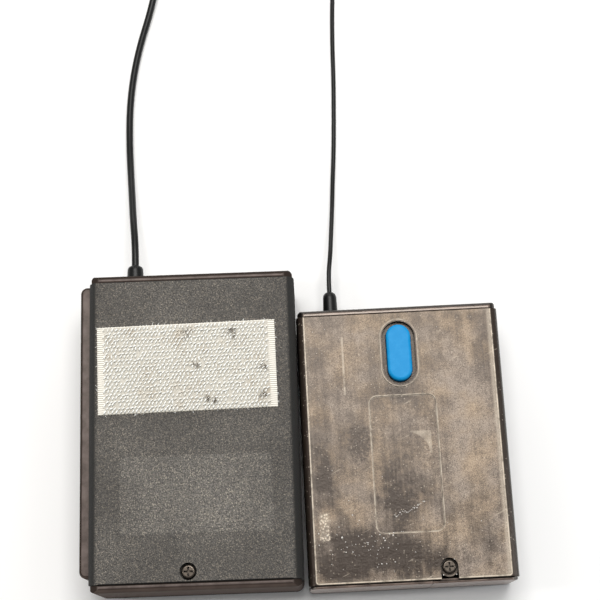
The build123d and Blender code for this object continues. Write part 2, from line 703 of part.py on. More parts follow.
tx_block = casing_block(
    tx, TX_WIDTH, TX_LENGTH, TX_SPLIT, TX_LIP_Z, 1.4, TX_EDGE - 0.3, (1.4, 2.2), (0.35, 1.2)
)
TX_LIPS = (TX_LIP_BOTTOM, TX_LIP_TOP)
TX_TOP_OUT = TX_LENGTH / 2
TX_TOP_IN = TX_TOP_OUT - TX_LIP_TOP
TX_BOTTOM = -TX_LENGTH / 2
TX_BOTTOM_IN = TX_BOTTOM + TX_LIP_BOTTOM
TX_BOARD_TOP = TX_BOARD_Z + BOARD

TX_SCREW = (10.0, -35.6)
TX_BOARD_SCREWS = [(24.4, -33.0), (24.4, 20.0), (-24.4, 20.0)]
TX_GLAND_X = -19.0
TX_GLAND_LENGTH = 7.9
TX_SWITCH_X = 16.0
TX_LAMP_X = 4.0

# battery door: the left part of the bottom end
SPLIT_X = 5.2
TX_HINGE_RADIUS = 0.9
TX_HINGE_Y = TX_BOTTOM + TX_HINGE_RADIUS
TX_HINGE_Z = 2.5
TX_LUGS = [-26.6, -11.8, 3.0]
TX_LUG_WIDTH = 3.0
TX_KNUCKLES = [-19.2, -4.4]
TX_KNUCKLE_WIDTH = 14.8 - TX_LUG_WIDTH - 0.4
TX_DOOR_THICK = TX_LIP_BOTTOM - SEAM
TX_END_TOP = TX_HEIGHT - TX_WALL - 0.8

# push button in its well, and the label's shallow recess
BUTTON_Y = 26.1
BUTTON_WIDTH, BUTTON_LENGTH = 7.1, 16.7
BUTTON_PROUD = 1.1
WELL_WIDTH, WELL_LENGTH, WELL_DEPTH = 9.6, 18.8, 1.1
WELL_FLOOR = 1.5
RIM_WIDTH, RIM_HEIGHT = 0.7, 0.35
FLANGE = 0.9
BUTTON_TRAVEL = 0.5
LABEL_Y = -6.0
LABEL_WIDTH, LABEL_LENGTH, LABEL_DEPTH = 19.2, 39.2, 0.35

with BuildPart() as tx_front_shell:
    add(tray(tx, tx_block, TX_WIDTH, TX_LENGTH, TX_SPLIT, TX_LIP_Z, TX_WALL, TX_FLOOR, TX_LIPS, 0.2))
    # the door takes the end wall's place left of the split
    door_width = SPLIT_X + TX_WIDTH / 2 + 1
    with BuildSketch(flat(tx, SPLIT_X - door_width / 2, TX_BOTTOM, TX_FLOOR)):
        Rectangle(door_width, 2 * TX_LIP_BOTTOM)
    extrude(amount=TX_LIP_Z, mode=Mode.SUBTRACT)
    # the fixed part of the end wall is thicker below the cover's plate
    fixed_width = TX_WIDTH / 2 - TX_WALL - 0.2 - SPLIT_X
    with BuildSketch(flat(tx, SPLIT_X + fixed_width / 2, TX_BOTTOM_IN + TX_END_WALL / 2, TX_FLOOR)):
        Rectangle(fixed_width, TX_END_WALL)
    extrude(amount=TX_END_TOP - TX_FLOOR)
    tx_lug_plane = sideways(tx, 0, TX_HINGE_Y, TX_HINGE_Z)
    add(barrels(tx_lug_plane, TX_LUGS, TX_LUG_WIDTH, TX_HINGE_RADIUS, (0, -0.7, 1.6, 1.4)))
    add(posts(tx, TX_BOARD_SCREWS, 2.6, TX_FLOOR - 0.2, TX_BOARD_Z, 1.0))
    add(posts(tx, [TX_SCREW], 2.4, TX_FLOOR - 0.2, TX_SPLIT - 1.0, 1.0))
    with BuildSketch(upright(tx, 0, TX_TOP_OUT + 1, 0)):
        with Locations((TX_GLAND_X, TX_SPLIT)):
            Circle(1.55)
        with Locations((TX_LAMP_X, TX_PORT_Z)):
            Circle(LAMP_RADIUS + 0.1)
        with Locations((TX_SWITCH_X, TX_PORT_Z)):
            Rectangle(*slider_slot())
    extrude(amount=TX_LIP_TOP + 1.2, mode=Mode.SUBTRACT)
    with BuildSketch(upright(tx, 0, TX_TOP_IN, TX_HEIGHT - 3.2)):
        with Locations(*TONGUE_PLACES):
            Rectangle(TONGUE[0] + 0.4, TONGUE[1] + 0.3)
    extrude(amount=-TONGUE_REACH - 0.1, mode=Mode.SUBTRACT)
save(tx_front_shell, "tx_front_shell")

with BuildPart() as tx_back_cover:
    add(channel(tx, TX_WIDTH, TX_LENGTH, TX_SPLIT, TX_HEIGHT, TX_WALL, TX_EDGE, TX_LIPS))
    with BuildSketch(upright(tx, 0, TX_TOP_IN - SEAM, TX_HEIGHT - 3.2)):
        with Locations(*TONGUE_PLACES):
            Rectangle(*TONGUE)
    extrude(amount=-TONGUE_REACH)
    with BuildSketch(upright(tx, 0, TX_TOP_IN - SEAM, TX_HEIGHT - 2.5)):
        with Locations(*TONGUE_PLACES):
            Rectangle(TONGUE[0], TONGUE[1] + 1.4)
    extrude(amount=2.0)
    # well of the push button: thicker plate below, raised rim above
    well_low = TX_HEIGHT - WELL_DEPTH - WELL_FLOOR
    with BuildSketch(flat(tx, 0, BUTTON_Y, well_low)):
        SlotOverall(WELL_LENGTH + 2.4, WELL_WIDTH + 2.4, rotation=90)
    extrude(amount=TX_HEIGHT - well_low - 0.2)
    with BuildSketch(flat(tx, 0, BUTTON_Y, TX_HEIGHT - 0.2)):
        SlotOverall(WELL_LENGTH + 2 * RIM_WIDTH, WELL_WIDTH + 2 * RIM_WIDTH, rotation=90)
    extrude(amount=0.2 + RIM_HEIGHT)
    with BuildSketch(flat(tx, 0, BUTTON_Y, TX_HEIGHT - WELL_DEPTH)):
        SlotOverall(WELL_LENGTH, WELL_WIDTH, rotation=90)
    extrude(amount=WELL_DEPTH + 1, mode=Mode.SUBTRACT)
    with BuildSketch(flat(tx, 0, BUTTON_Y, well_low - 1)):
        SlotOverall(BUTTON_LENGTH + 0.3, BUTTON_WIDTH + 0.3, rotation=90)
    extrude(amount=WELL_FLOOR + 2, mode=Mode.SUBTRACT)
    # label recess
    with BuildSketch(flat(tx, 0, LABEL_Y, TX_HEIGHT)):
        RectangleRounded(LABEL_WIDTH, LABEL_LENGTH, 2.3)
    extrude(amount=-LABEL_DEPTH, mode=Mode.SUBTRACT)
    # boss of the cover screw and its recess, which is open towards the seam
    with BuildSketch(flat(tx, z=TX_SPLIT - 0.9)):
        with Locations(TX_SCREW):
            Circle(2.7)
    extrude(amount=TX_HEIGHT - TX_SPLIT)
    with BuildSketch(flat(tx, z=TX_HEIGHT + 1)):
        with Locations(TX_SCREW):
            Circle(2.45)
        with Locations((TX_SCREW[0], TX_SCREW[1] - 2.2)):
            Rectangle(4.9, 4.4)
    extrude(amount=-2.5, mode=Mode.SUBTRACT)
    with BuildSketch(flat(tx, z=TX_HEIGHT)):
        with Locations(TX_SCREW):
            Circle(1.2)
    extrude(amount=-TX_HEIGHT + TX_SPLIT - 2, mode=Mode.SUBTRACT)
save(tx_back_cover, "tx_back_cover")

tx_cover_screw = cross_head_screws(flat(tx, *TX_SCREW, TX_HEIGHT - 1.5), [(0, 0)], 1.95, 1.2, 0.95, 12.5)
save(tx_cover_screw, "tx_cover_screw")

with BuildPart() as tx_battery_door:
    add(tx_block)
    door_span = SPLIT_X - SEAM + TX_WIDTH / 2 + 1
    with BuildSketch(flat(tx, SPLIT_X - SEAM - door_span / 2, TX_BOTTOM + TX_DOOR_THICK / 2, TX_HINGE_Z)):
        Rectangle(door_span, TX_DOOR_THICK)
    extrude(amount=TX_LIP_Z, mode=Mode.INTERSECT)
    # inner plate, which stands between the cover's side wall and the split
    plate_left = -TX_WIDTH / 2 + TX_WALL + 0.3
    plate_right = SPLIT_X - 0.3
    plate_middle = (plate_left + plate_right) / 2
    with BuildSketch(flat(tx, plate_middle, TX_BOTTOM_IN + TX_END_WALL / 2 - SEAM, TX_HINGE_Z)):
        Rectangle(plate_right - plate_left, TX_END_WALL)
    extrude(amount=TX_END_TOP - TX_HINGE_Z)
    # notches for the lugs and room for the pin, then the barrels
    for lug_x in TX_LUGS:
        with BuildSketch(flat(tx, lug_x, TX_BOTTOM, TX_HINGE_Z)):
            Rectangle(TX_LUG_WIDTH + 0.4, 6 * TX_LIP_BOTTOM)
        extrude(amount=TX_HINGE_RADIUS + 0.15, mode=Mode.SUBTRACT)
    with BuildSketch(sideways(tx, -TX_WIDTH / 2 - 1, TX_HINGE_Y, TX_HINGE_Z)):
        Circle(BARREL_HOLE)
    extrude(amount=door_span, mode=Mode.SUBTRACT)
    # lower edge cut back where it would turn into the shell's side wall
    with BuildSketch(flat(tx, -TX_WIDTH / 2, TX_BOTTOM, TX_HINGE_Z)):
        Rectangle(2 * TX_WALL + 0.6, 6 * TX_LIP_BOTTOM)
    extrude(amount=0.2, mode=Mode.SUBTRACT)
    add(barrels(tx_lug_plane, TX_KNUCKLES, TX_KNUCKLE_WIDTH, TX_HINGE_RADIUS, (0, 0.95, 1.2, 0.6)))
save(tx_battery_door, "tx_battery_door")

with BuildPart() as tx_door_pin:
    tx_pin_length = TX_LUGS[-1] - TX_LUGS[0] + TX_LUG_WIDTH - 0.4
    with BuildSketch(sideways(tx, TX_LUGS[1] - tx_pin_length / 2, TX_HINGE_Y, TX_HINGE_Z)):
        Circle(PIN_RADIUS)
    extrude(amount=tx_pin_length)
save(tx_door_pin, "tx_door_pin")

battery_pieces(tx, "tx", -14.2, -37.9, 1.7)

tx_outline = [(1.4, -38.2), (27.6, -38.2), (27.6, 38.0), (-27.6, 38.0), (-27.6, 14.2), (1.4, 14.2)]
with BuildPart() as tx_circuit_board:
    add(board_with(tx, TX_BOARD_Z, tx_outline, TX_BOARD_SCREWS, 1.3).part)
    with BuildSketch(flat(tx, z=TX_BOARD_Z)):
        with Locations(TX_SCREW):
            Circle(2.8)
    extrude(amount=BOARD, mode=Mode.SUBTRACT)
save(tx_circuit_board, "tx_circuit_board")

tx_board_screws = cross_head_screws(flat(tx, z=TX_BOARD_TOP), TX_BOARD_SCREWS, 2.2, 1.3, 0.95, 2.8)
save(tx_board_screws, "tx_board_screws")

on_tx_board = flat(tx, z=TX_BOARD_TOP)
save(blocks(on_tx_board, [(12.0, -22.0), (12.0, -10.0)], (9.0, 6.4, 3.0), 0.2), "tx_chips")
save(blocks(on_tx_board, [(8.0, 2.0), (18.0, 2.0), (-14.0, 20.0)], (7.0, 7.0, 7.6), 0.5), "tx_rf_coils")
tx_capacitor_places = [(22.0, -16.0), (22.0, -24.0), (-20.0, 30.0), (13.0, 28.0)]
save(cans(on_tx_board, tx_capacitor_places, 2.5, 6.5, 0.5), "tx_capacitors")
with BuildPart() as tx_crystal:
    with BuildSketch(flat(tx, 22.0, 12.0, TX_BOARD_TOP)):
        SlotOverall(10.4, 4.4)
    extrude(amount=9.0)
    fillet(tx_crystal.faces().sort_by(Axis.Z)[-1].edges(), 0.6)
save(tx_crystal, "tx_crystal")

power_switch(tx, "tx", TX_SWITCH_X, TX_TOP_IN, TX_TOP_OUT, TX_PORT_Z, TX_BOARD_TOP)
lamp(tx, "tx_status_led", TX_LAMP_X, TX_TOP_IN, TX_TOP_OUT, TX_PORT_Z)
gland(tx, "tx_mic_gland", TX_GLAND_X, TX_SPLIT, TX_TOP_IN, TX_TOP_OUT, 1.45, 2.2, 2.05, 0.95, TX_GLAND_LENGTH)

# button: a cap with a flange under the well's floor, on the plunger of a tall push switch
PLUNGER_RADIUS = 1.7
SWITCH_TOP = TX_BOARD_TOP + 3.5
FLANGE_TOP = well_low - 0.02
FLANGE_LOW = FLANGE_TOP - 1.0
with BuildPart() as tx_mute_button:
    with BuildSketch(flat(tx, 0, BUTTON_Y, FLANGE_LOW)):
        SlotOverall(BUTTON_LENGTH, BUTTON_WIDTH, rotation=90)
    extrude(amount=TX_HEIGHT + BUTTON_PROUD - FLANGE_LOW)
    fillet(tx_mute_button.faces().sort_by(Axis.Z)[-1].edges(), 0.9)
    with BuildSketch(flat(tx, 0, BUTTON_Y, FLANGE_LOW)):
        SlotOverall(BUTTON_LENGTH + 2 * FLANGE, BUTTON_WIDTH + 2 * FLANGE, rotation=90)
    extrude(amount=FLANGE_TOP - FLANGE_LOW)
save(tx_mute_button, "tx_mute_button")

with BuildPart() as tx_tact_switch:
    with BuildSketch(flat(tx, 0, BUTTON_Y, TX_BOARD_TOP)):
        RectangleRounded(6.0, 6.0, 0.3)
    extrude(amount=SWITCH_TOP - TX_BOARD_TOP)
    with BuildSketch(flat(tx, 0, BUTTON_Y, SWITCH_TOP)):
        Circle(PLUNGER_RADIUS + CLEAR)
    extrude(amount=-1.8, mode=Mode.SUBTRACT)
save(tx_tact_switch, "tx_tact_switch")

with BuildPart() as tx_switch_plunger:
    with BuildSketch(flat(tx, 0, BUTTON_Y, SWITCH_TOP - 1.0)):
        Circle(PLUNGER_RADIUS)
    extrude(amount=FLANGE_LOW - SWITCH_TOP + 1.0)
save(tx_switch_plunger, "tx_switch_plunger")

# microphone lead: out of the gland, down to the surface and along it to its coil
gland_end = tx.from_local_coords(Vector(TX_GLAND_X, TX_TOP_OUT + TX_GLAND_LENGTH, TX_SPLIT))
lead_start = gland_end + tx.y_dir * 5.6
MIC_ROUTE = [
    tuple(gland_end),
    tuple(lead_start),
    (41.3, 54.0, 9.6),
    (41.9, 62.0, 6.4),
    (42.6, 71.0, 3.2),
    (43.2, 81.0, 1.2),
    (44.0, 92.0, 0.7),
    (44.5, 104.0, 0.7),
    (44.9, 116.0, 0.7),
    (45.0, 128.0, 0.7),
    (45.4, 140.0, 0.7),
    (46.1, 150.5, 0.7),
    (46.3, 161.0, 0.7),
]
lead("tx_mic_lead", MIC_ROUTE, MIC_LEAD_RADIUS)
coil("tx_mic_coil", MIC_COIL, MIC_LEAD_RADIUS)
tie("tx_coil_tie", MIC_COIL, MIC_LEAD_RADIUS, 250)

# ================================================================ microphone, lying beside its coil

MIC_START = (60.5, MIC_COIL["centre"][1] + MIC_COIL["middle"] + 2 * 2 * MIC_LEAD_RADIUS, MIC_AXIS_Z)
mic = Plane(MIC_START, x_dir=(1, 0, 0), z_dir=(0, 0, 1))
mic_axis = Axis(MIC_START, (1, 0, 0))
BOOT_LENGTH = 13.5
HOUSING_RADIUS = 3.8
HOUSING_BORE = 3.2
HOUSING_END = 28.5
GRILLE_END = 31.5
FOAM_START, FOAM_END = 21.5, 36.1
FOAM_RADIUS, FOAM_BORE = 5.2, 4.1


def ring_section(x):
    """Plane square to the microphone's axis, facing its head."""
    return sideways(mic, x)


with BuildPart() as mic_boot:
    with BuildSketch(mic):
        with BuildLine():
            Polyline(
                (0, 0),
                (0, 1.1),
                (9.0, 2.0),
                (10.5, 3.0),
                (BOOT_LENGTH, 3.0),
                (BOOT_LENGTH, 0),
                close=True,
            )
        make_face()
    revolve(axis=mic_axis)
save(mic_boot, "mic_boot")

with BuildPart() as mic_housing:
    with BuildSketch(ring_section(BOOT_LENGTH)):
        Circle(HOUSING_RADIUS)
    extrude(amount=HOUSING_END - BOOT_LENGTH)
    fillet(mic_housing.faces().sort_by(Axis.X)[0].edges(), 0.6)
    with BuildSketch(ring_section(HOUSING_END)):
        Circle(HOUSING_BORE)
    extrude(amount=-(HOUSING_END - BOOT_LENGTH - 2.0), mode=Mode.SUBTRACT)
save(mic_housing, "mic_housing")

with BuildPart() as mic_capsule:
    with BuildSketch(ring_section(HOUSING_END - 6.4)):
        Circle(HOUSING_BORE - CLEAR)
    extrude(amount=5.6)
    fillet(mic_capsule.faces().sort_by(Axis.X)[-1].edges(), 0.3)
save(mic_capsule, "mic_capsule")

with BuildPart() as mic_grille:
    with BuildSketch(ring_section(HOUSING_END)):
        Circle(HOUSING_RADIUS)
    extrude(amount=GRILLE_END - HOUSING_END)
    fillet(mic_grille.faces().sort_by(Axis.X)[-1].edges(), 0.8)
    with BuildSketch(ring_section(HOUSING_END)):
        Circle(HOUSING_BORE)
    extrude(amount=GRILLE_END - HOUSING_END - 0.5, mode=Mode.SUBTRACT)
    with BuildSketch(ring_section(GRILLE_END)):
        Circle(0.4)
        with PolarLocations(1.5, 6):
            Circle(0.4)
    extrude(amount=-1.0, mode=Mode.SUBTRACT)
    slots = 10
    for index in range(slots):
        slot_plane = Plane(
            mic.from_local_coords(Vector(HOUSING_END + 1.2, 0, 0)),
            x_dir=(1, 0, 0),
            z_dir=(0, cos(2 * pi * index / slots), sin(2 * pi * index / slots)),
        )
        with BuildSketch(slot_plane):
            Rectangle(1.2, 0.8)
        extrude(amount=HOUSING_RADIUS + 1, mode=Mode.SUBTRACT)
save(mic_grille, "mic_grille")

with BuildPart() as mic_windscreen:
    with BuildSketch(ring_section(FOAM_START)):
        Circle(FOAM_RADIUS)
    extrude(amount=FOAM_END - FOAM_START)
    fillet(mic_windscreen.faces().sort_by(Axis.X)[-1].edges(), 4.4)
    fillet(mic_windscreen.faces().sort_by(Axis.X)[0].edges(), 0.9)
    with BuildSketch(ring_section(FOAM_START)):
        Circle(FOAM_BORE)
    extrude(amount=GRILLE_END - FOAM_START + 0.4, mode=Mode.SUBTRACT)
save(mic_windscreen, "mic_windscreen")

# ---------------------------------------------------------------- tie clip

RING_START, RING_WIDTH = 15.8, 4.2
RING_OUTER = 4.9
BAR_LOW, BAR_HIGH = 5.6, 7.0
CLIP_TAIL, CLIP_TIP = 11.5, 34.5
BAR_HALF = 3.2
HINGE_X, HINGE_Y = 17.9, 8.7
JAW_BEND = 25.5
EAR_RADIUS = 1.55
EAR_INNER, EAR_OUTER = 2.3, 3.2
INNER_EAR = (1.15, 2.2)
CLIP_PIN_RADIUS = 0.55

with BuildPart() as clip_upper_jaw:
    with BuildSketch(ring_section(RING_START)):
        Circle(RING_OUTER)
        with Locations(((BAR_LOW + 3.0) / 2 + 1, 0)):
            Rectangle(BAR_LOW - 2.0, 4.4)
        Circle(HOUSING_RADIUS + CLEAR, mode=Mode.SUBTRACT)
    extrude(amount=RING_WIDTH)
    with BuildSketch(flat(mic, (CLIP_TAIL + CLIP_TIP) / 2, (BAR_LOW + BAR_HIGH) / 2, -BAR_HALF)):
        Rectangle(CLIP_TIP - CLIP_TAIL, BAR_HIGH - BAR_LOW)
    extrude(amount=2 * BAR_HALF)
    for side in (-EAR_OUTER, EAR_INNER):
        with BuildSketch(flat(mic, HINGE_X, 0, side)):
            with Locations((0, HINGE_Y)):
                Circle(EAR_RADIUS)
            with Locations((0, (BAR_HIGH + HINGE_Y) / 2 - 0.2)):
                Rectangle(2 * EAR_RADIUS, HINGE_Y - BAR_HIGH + 0.4)
            with Locations((0, HINGE_Y)):
                Circle(CLIP_PIN_RADIUS + CLEAR, mode=Mode.SUBTRACT)
        extrude(amount=EAR_OUTER - EAR_INNER)
    # gripping teeth across the tip
    with BuildSketch(flat(mic, 0, BAR_HIGH, -BAR_HALF)):
        for tooth in range(4):
            with Locations((CLIP_TIP - 1.2 - 1.6 * tooth, 0)):
                Rectangle(0.7, 0.5)
    extrude(amount=2 * BAR_HALF, mode=Mode.SUBTRACT)
save(clip_upper_jaw, "clip_upper_jaw")

jaw_inside = [(CLIP_TAIL, 12.6), (HINGE_X, 10.5), (JAW_BEND, 9.9), (CLIP_TIP, BAR_HIGH + 0.15)]
jaw_outside = [(CLIP_TIP, BAR_HIGH + 1.2), (JAW_BEND, 11.1), (HINGE_X, 11.7), (CLIP_TAIL, 13.8)]
with BuildPart() as clip_lower_jaw:
    with BuildSketch(flat(mic, 0, 0, -BAR_HALF)):
        with BuildLine():
            Polyline(*jaw_inside, *jaw_outside, close=True)
        make_face()
    extrude(amount=2 * BAR_HALF)
    for side in (-INNER_EAR[1], INNER_EAR[0]):
        with BuildSketch(flat(mic, HINGE_X, 0, side)):
            with Locations((0, HINGE_Y)):
                Circle(EAR_RADIUS - 0.1)
            with Locations((0, HINGE_Y + 1.1)):
                Rectangle(2 * EAR_RADIUS - 0.4, 2.2)
            with Locations((0, HINGE_Y)):
                Circle(CLIP_PIN_RADIUS + CLEAR, mode=Mode.SUBTRACT)
        extrude(amount=INNER_EAR[1] - INNER_EAR[0])
save(clip_lower_jaw, "clip_lower_jaw")

with BuildPart() as clip_pin:
    with BuildSketch(flat(mic, HINGE_X, HINGE_Y, -EAR_OUTER)):
        Circle(CLIP_PIN_RADIUS)
    extrude(amount=2 * EAR_OUTER)
save(clip_pin, "clip_pin")

# torsion spring between the inner ears, wound round the pin
SPRING_WIRE = 0.22
SPRING_RADIUS = 0.95
SPRING_PITCH = 0.52
with BuildPart() as clip_spring:
    spring_low = mic.from_local_coords(Vector(HINGE_X, HINGE_Y, -INNER_EAR[0] + SPRING_WIRE + 0.05))
    with BuildLine() as winding:
        Helix(SPRING_PITCH, 3 * SPRING_PITCH, SPRING_RADIUS, center=spring_low)
    with BuildSketch(Plane(winding.edges()[0] @ 0, z_dir=winding.edges()[0] % 0)):
        Circle(SPRING_WIRE)
    sweep(path=winding.wires()[0])
save(clip_spring, "clip_spring")
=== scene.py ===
import json
from math import cos, pi, radians, sin

import bpy
import numpy as np
from mathutils import Matrix, Vector, noise


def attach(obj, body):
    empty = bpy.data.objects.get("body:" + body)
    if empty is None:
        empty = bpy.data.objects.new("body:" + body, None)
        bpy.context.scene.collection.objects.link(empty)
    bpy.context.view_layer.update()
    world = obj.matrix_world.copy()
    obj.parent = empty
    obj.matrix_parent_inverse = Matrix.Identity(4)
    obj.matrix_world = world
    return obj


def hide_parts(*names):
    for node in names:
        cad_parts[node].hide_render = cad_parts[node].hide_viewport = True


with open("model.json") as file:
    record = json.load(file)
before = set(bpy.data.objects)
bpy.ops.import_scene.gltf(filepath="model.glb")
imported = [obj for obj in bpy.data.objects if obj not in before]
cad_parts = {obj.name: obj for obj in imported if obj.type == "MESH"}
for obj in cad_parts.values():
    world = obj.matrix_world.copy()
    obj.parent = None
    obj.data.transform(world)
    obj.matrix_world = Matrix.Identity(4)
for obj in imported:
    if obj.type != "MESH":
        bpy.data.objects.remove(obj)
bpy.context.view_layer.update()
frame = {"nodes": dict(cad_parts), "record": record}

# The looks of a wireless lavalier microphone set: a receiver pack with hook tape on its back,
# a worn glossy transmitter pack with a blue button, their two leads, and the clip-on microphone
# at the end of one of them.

MM = 0.001
WHITE = (1.0, 1.0, 1.0, 1.0)
scene = bpy.context.scene
scene.view_settings.view_transform = "Standard"
chance = np.random.default_rng(seed=7)

# places shared with the CAD source, in millimetres
TX_CENTRE, TX_TURN = (60.2, -5.85), 0.8
TAPE_CENTRE, TAPE_TURN = (-1.5, 17.3), 0.85
TAPE_WIDTH, TAPE_LENGTH, TAPE_LOW = 51.3, 25.7, 25.0
MIC_START = (60.5, 172.2, 5.2)


def metres(*point):
    """A point given in millimetres."""
    return Vector(point) * MM


def placed(points, centre, turn):
    """Points turned about Z and moved."""
    c, s = cos(radians(turn)), sin(radians(turn))
    return points @ np.array([[c, s, 0], [-s, c, 0], [0, 0, 1]]) + np.array(centre)


def on_transmitter(x, y, z):
    """A point of the transmitter's own frame, in the object's frame."""
    return placed(np.array([[x, y, z]]), (*TX_CENTRE, 0), TX_TURN)[0]


def srgb(code):
    """Linear colour of a six-digit display colour."""
    parts = [int(code[i : i + 2], 16) / 255 for i in (0, 2, 4)]
    linear = [p / 12.92 if p < 0.04045 else ((p + 0.055) / 1.055) ** 2.4 for p in parts]
    return (*linear, 1.0)


def scaled(color, share):
    """A colour made darker, by a share below 1, or lighter."""
    return (*[min(1.0, share * value) for value in color[:3]], 1.0)


# ---------------------------------------------------------------- camera, light and floor

# the camera fitted to the photograph, in millimetres and degrees
CAMERA_PLACE = (32.545, -70.726, 418.489)
CAMERA_TILT, CAMERA_TURN, CAMERA_ROLL = 15.184, 0.13, -2.037
CAMERA_LENS = 84.216

PACKS_MIDDLE = (0.03, 0.0, 0.02)
# name, place and sizes in metres, watts, colour, and the point it is turned towards
SOFT_BOXES = [
    ("key", (0.06, 0.27, 0.8), (0.52, 0.37), 5.2, (1.0, 0.985, 0.96), None),
    ("strip_right", (0.55, -0.02, 0.3), (0.03, 0.6), 0.9, (0.95, 0.98, 1.0), PACKS_MIDDLE),
    ("strip_left", (-0.48, -0.02, 0.3), (0.03, 0.6), 0.9, (1.0, 0.97, 0.93), PACKS_MIDDLE),
    ("strip_back", (0.03, 0.62, 0.34), (0.7, 0.03), 1.1, (1.0, 0.98, 0.95), PACKS_MIDDLE),
]
SURROUNDINGS = 0.3  # strength of the even light from all round
FLOOR_REACH = 4  # metres
FLOOR_TONE = (0.93, 0.93, 0.93, 1.0)


def add_object(name, data):
    """A new object of the scene."""
    made = bpy.data.objects.new(name, data)
    scene.collection.objects.link(made)
    return made


def make_camera():
    """The camera stands above and past the packs' bottom ends, tilted towards their top ends."""
    data = bpy.data.cameras.new("camera")
    data.lens = CAMERA_LENS
    data.clip_start = 0.01
    camera = add_object("camera", data)
    tilt = Matrix.Rotation(radians(CAMERA_TILT), 4, "X")
    turn = Matrix.Rotation(radians(CAMERA_TURN), 4, "Y")
    roll = Matrix.Rotation(radians(CAMERA_ROLL), 4, "Z")
    camera.matrix_world = Matrix.Translation(metres(*CAMERA_PLACE)) @ turn @ tilt @ roll
    scene.camera = camera


def make_light(name, place, sizes, watts, color, target):
    """A rectangular soft box, facing straight down or towards a target."""
    data = bpy.data.lights.new(name, "AREA")
    data.shape = "RECTANGLE"
    data.size, data.size_y = sizes
    data.energy = watts
    data.color = color
    light = add_object(name, data)
    light.location = place
    if target:
        light.rotation_euler = (Vector(target) - Vector(place)).to_track_quat("-Z", "Y").to_euler()


def make_studio():
    """Pale floor, even surroundings, a wide soft box overhead and narrow ones around it."""
    world = bpy.data.worlds.new("surroundings")
    world.use_nodes = True
    background = world.node_tree.nodes["Background"].inputs
    background["Color"].default_value = WHITE
    background["Strength"].default_value = SURROUNDINGS
    scene.world = world
    for soft_box in SOFT_BOXES:
        make_light(*soft_box)
    mesh = bpy.data.meshes.new("floor")
    far = FLOOR_REACH
    corners = [(-far, -far, 0), (far, -far, 0), (far, far, 0), (-far, far, 0)]
    mesh.from_pydata(corners, [], [(0, 1, 2, 3)])
    floor = add_object("floor", mesh)
    paint = Paint("floor_paper", FLOOR_TONE, 0.85)
    mesh.materials.append(paint.material)


# ---------------------------------------------------------------- materials


def socket_name(key):
    """A shader socket's name from its keyword, such as Specular IOR Level."""
    return key.replace("_", " ").title().replace("Ior", "IOR")


